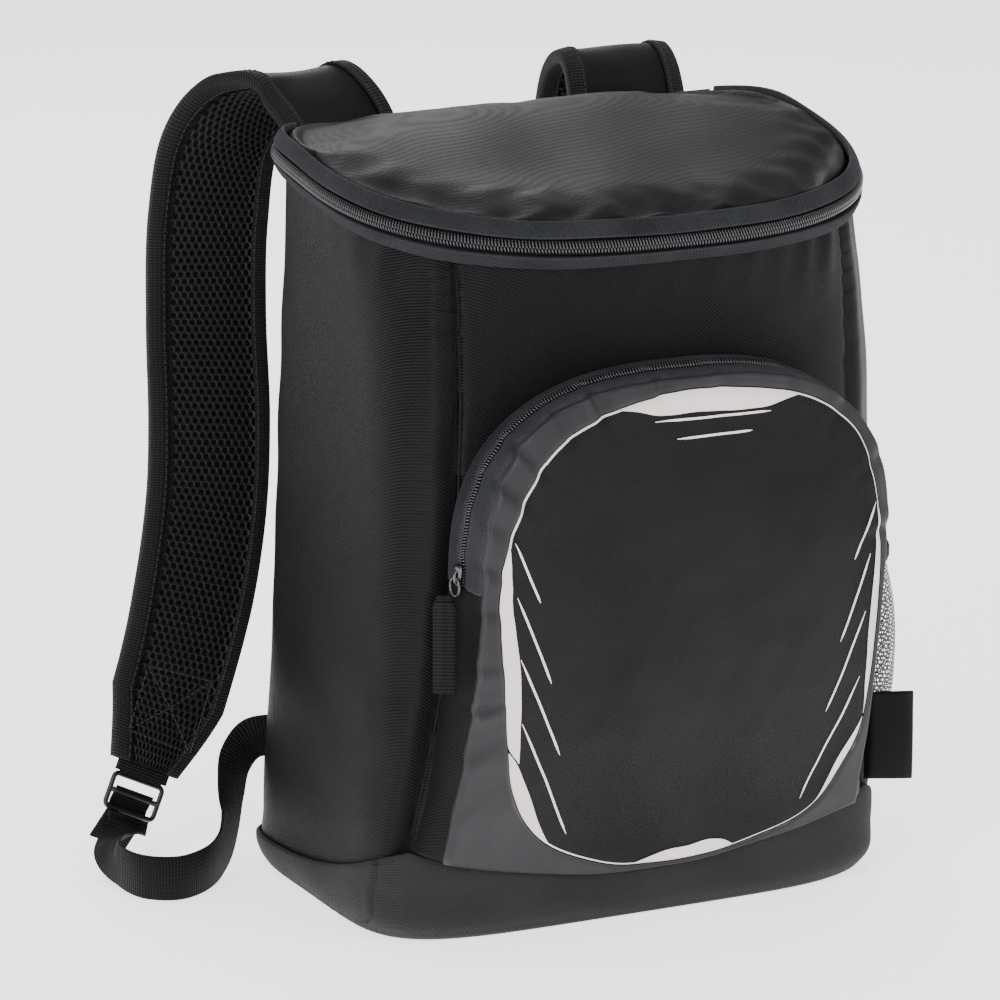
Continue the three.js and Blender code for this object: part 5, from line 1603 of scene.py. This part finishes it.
# %% Helper for lace
def lace(name, width, length, pitch, hole, lay, material, sink=0.0):
    """Rings of cloth over width by length. lay(a, b) gives places and sink pushes each hole's rim in."""
    corners = np.radians(np.arange(6) * 60 + 30)
    radius = pitch / math.sqrt(3)
    rows = int(length / (1.5 * radius))
    points, faces = [], []
    for row in range(rows + 1):
        offset = 0.5 * pitch * (row % 2)
        for a in np.arange(pitch / 2 + offset, width - pitch / 4, pitch):
            b = radius * 0.5 + row * 1.5 * radius
            start = len(points)
            for share in (1.0, hole):
                ring = radius * share
                points += [(a + ring * math.cos(c), b + ring * math.sin(c), share) for c in corners]
            for j in range(6):
                k = (j + 1) % 6
                faces.append((start + j, start + k, start + 6 + k, start + 6 + j))
    flat = np.array(points)
    spots = lay(np.clip(flat[:, 0], 0, width), np.clip(flat[:, 1], 0, length))
    if sink:
        spots, ways = spots
        spots = spots - ways * (np.where(flat[:, 2] < 1, sink, 0))[:, None]
    piece = new_object(name, [tuple(p) for p in spots], faces, material)
    mesh = bmesh.new()
    mesh.from_mesh(piece.data)
    bmesh.ops.remove_doubles(mesh, verts=mesh.verts, dist=pitch * 0.02)
    mesh.to_mesh(piece.data)
    mesh.free()
    return rounded_off(piece)


# %% [markdown]
# ## The net side pocket
# The net hangs between the corner seams and a wide elastic hem. It is cut a little wider than
# the side of the bag, so it stands off in a shallow belly that is fullest at half height. The
# light shines straight through it where it shows past the edge of the bag.

# %% Net and hem
NET_FRONT, NET_BACK = 0.84, 0.66
NET_FOOT, NET_TOP = 0.0032, 0.176
NET_BULGE = 0.029
NET_SPREAD = 4.0
NET_BELLY = {"up": (0.0, 0.12, 0.3, 0.5, 0.8, 1.0), "full": (0.0, 0.5, 0.88, 1.0, 0.92, 0.66)}
NET_WIDE = NET_FRONT * FRONT_REACH * 0.85 + NET_BACK * BACK_REACH
NET_LONG = 0.150
NET_PITCH, NET_HOLE = 0.0032, 0.64
HEM_SECTION = (  # how high over the net's edge and how far out
    (-0.0006, 0.0), (-0.0006, 0.0016), (0.0012, 0.0023), (0.0042, 0.0024),
    (0.0072, 0.0023), (0.0082, 0.0012), (0.0078, 0.0),
)


def net_place(along, up):
    low = band_top(HALF_WIDTH, mix(-NET_FRONT * FRONT_REACH, NET_BACK * BACK_REACH, along)) + NET_FOOT
    z = mix(low, NET_TOP, up)
    front = read(BODY_SECTIONS, "front", z / RIM_HEIGHT)
    y = mix(-NET_FRONT * front * FRONT_REACH, NET_BACK * BACK_REACH, along)
    spread = 1 - np.abs(2 * along - 1) ** NET_SPREAD
    belly = NET_BULGE * spread * read(NET_BELLY, "full", up)
    belly = belly + 0.0012 * spread * np.sin(along * 2 * math.pi * 3.2 + 0.8) * up**2
    return np.stack([side_at(y, z) + 0.0009 + belly, y, z], axis=-1)


net = lace(
    "side_net", NET_WIDE, NET_LONG, NET_PITCH, NET_HOLE,
    lambda a, b: net_place(a / NET_WIDE, b / NET_LONG), net_thread,
)
place(net, "net", "net_pocket")
hem_along = np.linspace(0, 1, 90)
hem_low = net_place(hem_along, np.ones(90))
hem_rows = []
for up, out in HEM_SECTION:
    row = hem_low.copy()
    row[:, 2] += up
    row[:, 0] += out + 0.0003 * np.sin(hem_along * 2 * math.pi * 34) * (0.001 < out)
    hem_rows.append(row)
hem = rod("net_hem", np.array(hem_rows).transpose(1, 0, 2), black_webbing)
ribbon_map(hem, hem_along * NET_WIDE, np.arange(len(HEM_SECTION)) * 0.003, True)
place(hem, "webbing", "net_pocket_hem")
print("net faces", len(net.data.polygons), "width", round(NET_WIDE, 3))

# %% [markdown]
# A short satin ribbon, folded double, is caught in the right front seam. It is left blank. Its
# two layers don't lie quite flat on each other, so it is a narrow loop with a slight curl.

# %% The blank tag
TAG_TURN = math.radians(23)
TAG_FOOT, TAG_HIGH, TAG_LONG, TAG_CLEAR = 0.056, 0.050, 0.027, 0.0018
TAG_LOOP = (  # along the tag and out of its face
    (0.0, 0.0006), (0.006, 0.0007), (0.014, 0.0010), (0.022, 0.0011), (0.0262, 0.0009), (TAG_LONG, 0.0),
    (0.0262, -0.0009), (0.022, -0.0008), (0.014, -0.0006), (0.006, -0.0005), (0.0, -0.0006),
)
tag_root = np.array([0.138, -float(front_at(0.138, 0.081)), 0.0])
tag_way = np.array([math.cos(TAG_TURN), -math.sin(TAG_TURN), 0.0])
tag_face = np.array([tag_way[1], -tag_way[0], 0.0])
tag_rows = []
for z in np.linspace(TAG_FOOT, TAG_FOOT + TAG_HIGH, 26):
    curl = 0.0009 * math.sin((z - TAG_FOOT) * 90)
    rise = np.array([0, 0, z])
    tag_rows.append([
        tag_root + tag_way * (a + TAG_CLEAR) + tag_face * (t + curl * a / TAG_LONG) + rise
        for a, t in TAG_LOOP
    ])
tag = rod("blank_tag", np.array(tag_rows), tag_satin)
place(tag, "webbing", "side_tag")
print("tag is blank, faces", len(tag.data.polygons))

# %% [markdown]
# ## The shoulder straps
# Each strap is a foam pad with satin twill outside and spacer mesh inside, bound along both
# edges with ribbed tape. It is sewn to the back panel, stands up over the rim and falls back
# behind the bag. A route of a dozen places carries the pad, and the same places, with the
# strap's turn and width at each, carry the mesh and the bindings, so the layers stay together.

# %% Routes of the straps
STRAP_BOW = 0.068
STRAP_WIDE = 0.070
STRAP_STEPS = 170
STRAP_ROUTES = {  # shares of the bag's sizes: out, back, up; then the turn in degrees and the width
    "left": (
        (0.56, -0.034, 0.955, 12, 0.97), (0.57, 0, 1.0, 9, 0.97), (0.61, 0.2, 1.046, 3, 0.97),
        (0.67, 0.47, 1.071, 0, 0.97), (0.76, 0.79, 1.044, -2, 0.97), (0.87, 0.98, 0.98, -3, 0.98),
        (0.925, 1, 0.87, -3, 1), (0.955, 0.91, 0.735, -2, 1), (1.0, 0.63, 0.597, 0, 1.02),
        (1.046, 0.47, 0.484, 2, 1.03), (1.137, 0.31, 0.355, 4, 1.04), (1.255, 0.22, 0.225, 6, 1.02),
        (1.37, 0.13, 0.135, 8, 0.62),
    ),
    "right": (
        (0.56, -0.034, 0.955, 12, 0.97), (0.57, 0.01, 1.01, 9, 0.97), (0.585, 0.2, 1.06, 3, 0.97),
        (0.595, 0.4, 1.074, 0, 0.97), (0.61, 0.72, 1.05, 0, 0.97), (0.62, 0.92, 0.98, 0, 0.98),
        (0.63, 0.9, 0.86, 0, 1), (0.64, 0.78, 0.72, 0, 1), (0.65, 0.62, 0.59, 0, 1.02),
        (0.66, 0.48, 0.47, 0, 1.03), (0.67, 0.4, 0.35, 0, 1.04), (0.68, 0.36, 0.23, 0, 1.02),
        (0.69, 0.34, 0.145, 0, 0.62),
    ),
}
WEBBING_ROUTES = {  # shares out, back and up, then which way the webbing's width points
    "left": (
        (1.47, 0, 1.1, -1, 0, 0), (1.56, -0.2, 0.78, -0.4, 0.8, 0.45), (1.59, -0.52, 0.61, 0, 0.3, 0.95),
        (1.555, -0.84, 0.56, 0, 0, 1), (1.45, -1, 0.56, 0, 0, 1), (1.33, -0.9, 0.56, 0, 0, 1),
        (1.2, -0.58, 0.6, 0.15, 0.15, 0.97), (1.11, -0.27, 0.95, 0.55, 0.5, 0.65),
        (1.07, -0.1, 1.6, 0.8, 0.5, 0.2), (1.03, 0, 2.2, 0.8, 0.2, 0.55),
        (0.96, 0.02, 2.6, 0.45, 0, 0.9), (0.84, -0.13, 2.7, 0, 0, 1),
    ),
    "right": (
        (0.69, 0.34, 1.1, 1, 0, 0), (0.71, 0.47, 0.74, 0.5, -0.5, 0.6), (0.78, 0.6, 0.58, 0, 0, 1),
        (0.9, 0.62, 0.56, 0, 0, 1), (1.02, 0.48, 0.58, 0, 0, 1), (1.09, 0.22, 0.9, -0.3, -0.4, 0.85),
        (1.09, 0.09, 1.6, -0.5, -0.8, 0.3), (1.05, 0.03, 2.2, 0.1, -0.8, 0.6),
        (0.97, 0.02, 2.6, 0, -0.3, 0.95), (0.84, -0.13, 2.7, 0, 0, 1),
    ),
}


def smooth_route(points, share):
    """Places on a soft curve through the points, each stretch taking an equal share."""
    points = np.asarray(points, float)
    ends = np.vstack([2 * points[0] - points[1], points, 2 * points[-1] - points[-2]])
    at = np.clip(np.asarray(share, float), 0, 1) * (len(points) - 1)
    index = np.minimum(at.astype(int), len(points) - 2)
    t = (at - index)[:, None]
    p = [ends[index + k] for k in range(4)]
    lengths = [np.linalg.norm(p[k + 1] - p[k], axis=1, keepdims=True) for k in range(3)]
    before, here, after = (np.maximum(length**0.5, 1e-6) for length in lengths)
    into = ((p[1] - p[0]) / before - (p[2] - p[0]) / (before + here) + (p[2] - p[1]) / here) * here
    away = ((p[2] - p[1]) / here - (p[3] - p[1]) / (here + after) + (p[3] - p[2]) / after) * here
    return (
        p[1] * (2 * t**3 - 3 * t**2 + 1) + into * (t**3 - 2 * t**2 + t)
        + p[2] * (3 * t**2 - 2 * t**3) + away * (t**3 - t**2)
    )


class Run:
    """Places along a ribbon, with the way along, the way across and the way out at each."""

    def __init__(self, places, wanted):
        self.at = places
        self.along = np.gradient(places, axis=0)
        self.along /= np.linalg.norm(self.along, axis=1, keepdims=True)
        across = wanted - self.along * (wanted * self.along).sum(axis=1, keepdims=True)
        self.across = across / np.linalg.norm(across, axis=1, keepdims=True)
        self.out = np.cross(self.across, self.along)
        self.far = np.concatenate([[0], np.cumsum(np.linalg.norm(np.diff(places, axis=0), axis=1))])

    def spot(self, i, wide, out):
        return self.at[i] + self.across[i] * wide + self.out[i] * out

    def lay(self, far, wide, out):
        """Places at lengths along the run, and the way out at each."""
        at, across, away = (
            np.stack([np.interp(far, self.far, way[:, k]) for k in range(3)], axis=-1)
            for way in (self.at, self.across, self.out)
        )
        return at + across * wide[:, None] + away * np.broadcast_to(out, np.shape(far))[:, None], away


def route_points(table, side, height):
    """Places of a route from its shares; height is what the shares up are taken of."""
    across = side * table[:, 0] * HALF_WIDTH
    back = BACK_REACH + table[:, 1] * STRAP_BOW
    return np.stack([across, back, table[:, 2] * height], axis=1)


def strap_run(side_name, side):
    table = np.array(STRAP_ROUTES[side_name], float)
    points = route_points(table, side, RIM_HEIGHT)
    share = np.linspace(0, 1, STRAP_STEPS)
    keys = np.linspace(0, 1, len(table))
    turn = np.radians(-side * np.interp(share, keys, table[:, 3]))
    run = Run(smooth_route(points, share), np.stack([np.cos(turn), np.sin(turn), 0 * turn], axis=1))
    run.half = np.interp(share, keys, table[:, 4]) * STRAP_WIDE / 2
    return run


def swept(name, run, section_at, material, closed=True):
    """A section carried along a run. section_at(i) gives (wide, out) pairs."""
    rows = np.array([[run.spot(i, wide, out) for wide, out in section_at(i)] for i in range(len(run.at))])
    piece = skin(name, rows, material, closed=closed, cap_start=closed, cap_end=closed)
    first = section_at(0)
    steps = [math.dist(a, b) for a, b in zip(first, first[1:])]
    ribbon_map(piece, run.far, np.concatenate([[0], np.cumsum(steps)]), closed)
    return piece


runs = {"left": strap_run("left", -1), "right": strap_run("right", 1)}
print("strap lengths:", {name: round(float(run.far[-1]), 3) for name, run in runs.items()})

# %% [markdown]
# The foam makes the outer face swell between the bindings, and at the lower end a box with a
# cross is stitched through all the layers and pulls the pad flat. The mesh on the inner face is
# a knitted lace of six-sided cells over a darker backing. Foam and cloth move as one here, so
# the swell comes from a short formula: a cushion across the width, with slow waves along it.

# %% Pads, mesh and bindings
BINDING_WIDE = 0.010
PAD_EDGE = 0.0044
PAD_FACE = 0.0037
PAD_INNER = 0.0035
QUILT_AT = 0.036
QUILT_HALF = 0.020
QUILT_SHARE = 0.62
MESH_PITCH, MESH_HOLE, MESH_SINK = 0.0046, 0.58, 0.0009


def quilt_dent(from_end, wide, half):
    """How far the box with a cross pulls the pad in, near its lower end."""
    x = np.abs(wide / (QUILT_SHARE * half))
    y = np.abs((from_end - QUILT_AT) / QUILT_HALF)
    square = np.maximum(x, y)
    inside = fade(square - 0.5, 0.42)
    cross = fade(x - y, 0.12) + fade(square - 1.0, 0.10)
    return (0.0011 * inside + 0.0008 * np.minimum(cross, 1.0)) * (square < 1.4)


def pad_section(run, i):
    half, from_end = run.half[i], run.far[-1] - run.far[i]
    edge, shoulder = half - 0.0015, half - BINDING_WIDE
    wide = np.linspace(-1, 1, 19)
    across = np.sign(wide) * np.abs(wide) ** 0.85 * shoulder
    swell = 0.0009 * (1 - (np.abs(across) / shoulder) ** 2.4)
    long_wave = 0.0005 * np.sin(run.far[i] * 2 * math.pi / 0.085 + across * 30)
    short_wave = 0.0003 * np.sin(run.far[i] * 2 * math.pi / 0.031 + across * 70)
    calm = 1 - (np.abs(across) / shoulder) ** 4
    outer = PAD_FACE + swell + (long_wave + short_wave) * calm - quilt_dent(from_end, across, half)
    low, high = -PAD_EDGE / 2, PAD_EDGE / 2
    inner_face = [(-edge, low), (-shoulder, -PAD_INNER), (shoulder, -PAD_INNER), (edge, low)]
    outer_face = [(float(a), float(o)) for a, o in zip(across[::-1], outer[::-1])]
    return [*inner_face, (edge, high), *outer_face, (-edge, high)]


def backing_section(run, i):
    edge = run.half[i] - BINDING_WIDE + 0.0006
    from_end = run.far[-1] - run.far[i]
    wide = np.linspace(-1, 1, 13) * edge
    out = -0.0044 - 0.0007 * (1 - (wide / edge) ** 2) + quilt_dent(from_end, wide, run.half[i])
    face = [(float(a), float(o)) for a, o in zip(wide[::-1], out[::-1])]
    return [(edge, -0.0036), *face, (-edge, -0.0036)]


def binding_section(run, i, edge_side, turned):
    half, lip = run.half[i], run.half[i] - BINDING_WIDE
    low = PAD_EDGE / 2 + 0.00045
    scallop = 0.00018 * math.sin(run.far[i] * 2 * math.pi / 0.0042)
    waist = mix(lip, half, 0.45)
    section = [
        (lip, 0.0052), (waist, 0.0049 + scallop), (half - 0.001, low + 0.0014), (half, low + 0.0002),
        (half + 0.0002, 0.0), (half, -low - 0.0002), (half - 0.001, -low - 0.0014),
        (waist, -0.0049 - scallop), (lip, -0.0052), (lip, -0.0039),
        (half - 0.002, -low), (half - 0.002, low), (lip, 0.0039),
    ]
    section = [(edge_side * wide, out) for wide, out in section]
    return section[::-1] if turned else section


def stitches(name, rows, length=0.0030, gap=0.0011, thick=0.00045):
    """Short threads along rows of (places, ways out)."""
    points, faces = [], []
    for places, ways in rows:
        far = np.concatenate([[0], np.cumsum(np.linalg.norm(np.diff(places, axis=0), axis=1))])
        for start in np.arange(gap, far[-1] - length, length + gap):
            for k, share in enumerate((0.0, 0.25, 0.75, 1.0)):
                at = start + share * length
                spot = np.array([np.interp(at, far, places[:, c]) for c in range(3)])
                ahead = np.array([np.interp(at + 0.0005, far, places[:, c]) for c in range(3)]) - spot
                out = np.array([np.interp(at, far, ways[:, c]) for c in range(3)])
                ahead = ahead / max(np.linalg.norm(ahead), 1e-9)
                across = np.cross(ahead, out)
                lift = thick * (0.45 if 0 < share < 1 else -0.4)
                for a, o in ((-0.5, 0.0), (0.0, 0.5), (0.5, 0.0), (0.0, -0.5)):
                    points.append(spot + out * (lift + o * thick) + across * (a * thick))
                if k:
                    base = len(points) - 8
                    for j, n in ((0, 1), (1, 2), (2, 3), (3, 0)):
                        faces.append((base + j, base + n, base + 4 + n, base + 4 + j))
    place(rounded_off(new_object(name, points, faces, stitch_thread)), "webbing")


def dress_strap(name, side):
    run = runs[name]
    pad = swept(f"pad_{name}", run, lambda i: pad_section(run, i), strap_satin)
    place(pad, "strap_satin", f"strap_pad_{name}")
    backing = swept(f"mesh_backing_{name}", run, lambda i: backing_section(run, i), mesh_backing)
    place(backing, "spacer_mesh", f"strap_mesh_{name}")
    narrow = run.half.max() - BINDING_WIDE + 0.0004

    def lay(a, b):
        half = np.interp(b, run.far, run.half)
        wide = (a / narrow - 1) * (half - BINDING_WIDE + 0.0003)
        from_end = run.far[-1] - b
        crown = 0.0007 * (1 - (a / narrow - 1) ** 2)
        spots, ways = run.lay(b, wide, -0.0057 - crown + quilt_dent(from_end, wide, half))
        return spots, -ways

    holes = lace(
        f"mesh_lace_{name}", 2 * narrow, float(run.far[-1]), MESH_PITCH, MESH_HOLE,
        lay, spacer_mesh, MESH_SINK,
    )
    place(holes, "spacer_mesh")
    for key, edge_side in (("inner", -side), ("outer", side)):
        binding = swept(
            f"binding_{key}_{name}", run,
            lambda i: binding_section(run, i, edge_side, edge_side < 0), binding_tape,
        )
        place(binding, "webbing", f"strap_binding_{key}_{name}")
    rows = []
    for edge_side in (-1, 1):
        for out_side in (-1, 1):
            wide = edge_side * (run.half - 0.0082)
            spots = run.at + run.across * wide[:, None] + run.out * (out_side * 0.00525)
            rows.append((spots, run.out * out_side))
    stitches(f"binding_stitches_{name}", rows)


for name, side in (("left", -1), ("right", 1)):
    dress_strap(name, side)
print("straps dressed")

# %% [markdown]
# The quilted box near the foot of each pad is sewn with a visible thread, a square with its two
# diagonals, on both faces.

# %% Box stitching
for name, run in runs.items():
    rows = []
    middle = run.far[-1] - QUILT_AT
    half = float(np.interp(middle, run.far, run.half)) * QUILT_SHARE
    box = [(-1, -1), (1, -1), (1, 1), (-1, 1), (-1, -1), (1, 1), (1, -1), (-1, 1)]
    for out, flip in ((-0.0062, -1), (0.0042, 1)):
        for a, b in zip(box, box[1:]):
            share = np.linspace(0, 1, 16)
            wide = mix(a[0], b[0], share) * half
            far = middle + mix(a[1], b[1], share) * QUILT_HALF
            dent = quilt_dent(run.far[-1] - far, wide, np.interp(far, run.far, run.half))
            spots, ways = run.lay(far, wide, out - flip * dent * 0.8)
            rows.append((spots, ways * flip))
    stitches(f"box_stitches_{name}", rows, length=0.0026, gap=0.0009, thick=0.0006)

# %% [markdown]
# ## Buckles and webbing
# A tab of webbing carries a flat three-bar buckle at the end of each pad. The webbing comes up
# from the lower corner of the bag, goes round the middle bar and ends in a short tail. The
# buckle is moulded, so its corners are round and its bars have a soft section.

# %% Buckle, tab, loop and tail
WEB_WIDE, WEB_THICK = 0.025, 0.0016
TAB_FROM, TAB_TO, TAB_WIDE = 0.0003, 0.0060, 0.034
BUCKLE_FROM, BUCKLE_LONG, BUCKLE_WIDE, BAR = 0.0063, 0.022, 0.036, 0.003
BAR_THICK, BUCKLE_CORNER = 0.0026, 0.0028
LOOP_WIDE, LOOP_THICK, TAB_THICK, TAB_EASE = 0.028, 0.0034, 0.0040, 0.0009
WEB_LIFT = 0.025
WEB_FROM, WEB_STRAIGHT, WEB_LAYER = 0.0286, 0.0336, 0.0024
TAIL_END, TAIL_LEAN = 0.0456, 0.008


def flat_loop(wide, thick, ease=0.0003):
    half, edge = wide / 2, thick / 2
    face = [(-half, -edge + ease), (-half + ease, -edge), (0.0, -edge * 1.05), (half - ease, -edge)]
    back = [(half, -edge + ease), (half, edge - ease), (half - ease, edge), (0.0, edge * 1.05)]
    return [*face, *back, (-half + ease, edge), (-half, edge - ease)]


def past_end(run, far, shift):
    far = np.asarray(far, float)
    shift = np.broadcast_to(shift, far.shape)
    places = run.at[-1] + run.along[-1] * far[:, None] + run.out[-1] * shift[:, None]
    return Run(places, np.repeat(run.across[-1:], len(far), axis=0))


def round_bar(points, ways, radius_wide, radius_thick):
    """Rings of a soft bar through points; ways are its two section directions at each point."""
    angles = np.arange(10) * 2 * math.pi / 10
    return [
        [p + u * (math.cos(a) * radius_wide) + v * (math.sin(a) * radius_thick) for a in angles]
        for p, (u, v) in zip(points, ways)
    ]


def make_buckle(name, run):
    end = {"at": run.at[-1], "along": run.along[-1], "across": run.across[-1], "out": run.out[-1]}

    def spot(a, b):
        return end["at"] + end["across"] * a + end["along"] * (BUCKLE_FROM + b)

    half = BUCKLE_WIDE / 2 - BAR / 2
    low, high = BAR / 2, BUCKLE_LONG - BAR / 2
    corner = BUCKLE_CORNER
    rim = []
    for (cx, cy), turn in (((half, low), -90), ((half, high), 0), ((-half, high), 90), ((-half, low), 180)):
        inner = np.array([cx - math.copysign(corner, cx), cy + (corner if cy == low else -corner)])
        for step in np.linspace(0, 90, 6):
            angle = math.radians(turn + step)
            rim.append((inner + corner * np.array([math.cos(angle), math.sin(angle)]), angle))
    rings = []
    for (a, b), angle in rim:
        u = end["across"] * math.cos(angle) + end["along"] * math.sin(angle)
        rings.append(round_bar([spot(a, b)], [(u, end["out"])], BAR / 2, BAR_THICK / 2)[0])
    rings.append(rings[0])
    frame_piece = skin(f"buckle_{name}", np.array(rings), buckle_plastic, closed=True)
    middle = (low + high) / 2
    ends = [spot(a, middle) for a in np.linspace(-half, half, 8)]
    bar = round_bar(ends, [(end["along"], end["out"])] * len(ends), BAR / 2, BAR_THICK / 2)
    bar_piece = rod(f"buckle_bar_{name}", np.array(bar), buckle_plastic)
    place(frame_piece, "slider_metal", f"strap_buckle_{name}")
    place(bar_piece, "slider_metal")


def dress_webbing(name, side):
    run = runs[name]
    behind = 1 if name == "left" else -1
    layer = behind * WEB_LAYER
    tab_run = past_end(run, np.linspace(TAB_FROM - 0.004, TAB_TO, 12), 0.0)
    tab = swept(f"tab_{name}", tab_run, lambda i: flat_loop(TAB_WIDE, TAB_THICK, TAB_EASE), binding_tape)
    place(tab, "webbing", f"strap_tab_{name}")
    loop_over = past_end(run, np.linspace(TAB_TO - 0.001, BUCKLE_FROM + 0.0022, 8), 0.0)
    tab_loop = swept(
        f"tab_loop_{name}", loop_over, lambda i: flat_loop(LOOP_WIDE, LOOP_THICK, TAB_EASE), black_webbing
    )
    place(tab_loop, "webbing")
    make_buckle(name, run)
    table = np.array(WEBBING_ROUTES[name], float)
    points = route_points(table, side, WEB_LIFT)
    starts = [run.at[-1] + run.along[-1] * far - run.out[-1] * layer for far in (WEB_FROM, WEB_STRAIGHT)]
    points = np.vstack([starts, points[1:]])
    wanted = np.stack([side * table[:, 3], -table[:, 4], table[:, 5]], axis=1)
    wanted = np.vstack([wanted[:1], wanted])
    share = np.linspace(0, 1, 150)
    keys = np.linspace(0, 1, len(points))
    across = np.stack([np.interp(share, keys, wanted[:, k]) for k in range(3)], axis=1)
    web_run = Run(smooth_route(points, share), across)
    web = swept(f"web_{name}", web_run, lambda i: flat_loop(WEB_WIDE, WEB_THICK), black_webbing)
    place(web, "webbing", f"strap_webbing_{name}")
    tail_far = np.linspace(WEB_FROM, TAIL_END, 16)
    lean = (tail_far - tail_far[0]) / (tail_far[-1] - tail_far[0])
    tail_run = past_end(run, tail_far, layer + behind * TAIL_LEAN * lean)
    tail = swept(f"tail_{name}", tail_run, lambda i: flat_loop(WEB_WIDE, WEB_THICK), black_webbing)
    place(tail, "webbing", f"strap_tail_{name}")
    bend = np.concatenate([np.linspace(0.0, layer * 0.9, 7), np.full(7, layer)])
    inside = past_end(run, np.linspace(0.0145, 0.0292, len(bend)), bend)
    over_bar = swept(f"web_in_buckle_{name}", inside, lambda i: flat_loop(WEB_WIDE, WEB_THICK), black_webbing)
    place(over_bar, "webbing")


for name, side in (("left", -1), ("right", 1)):
    dress_webbing(name, side)
print("webbing done")
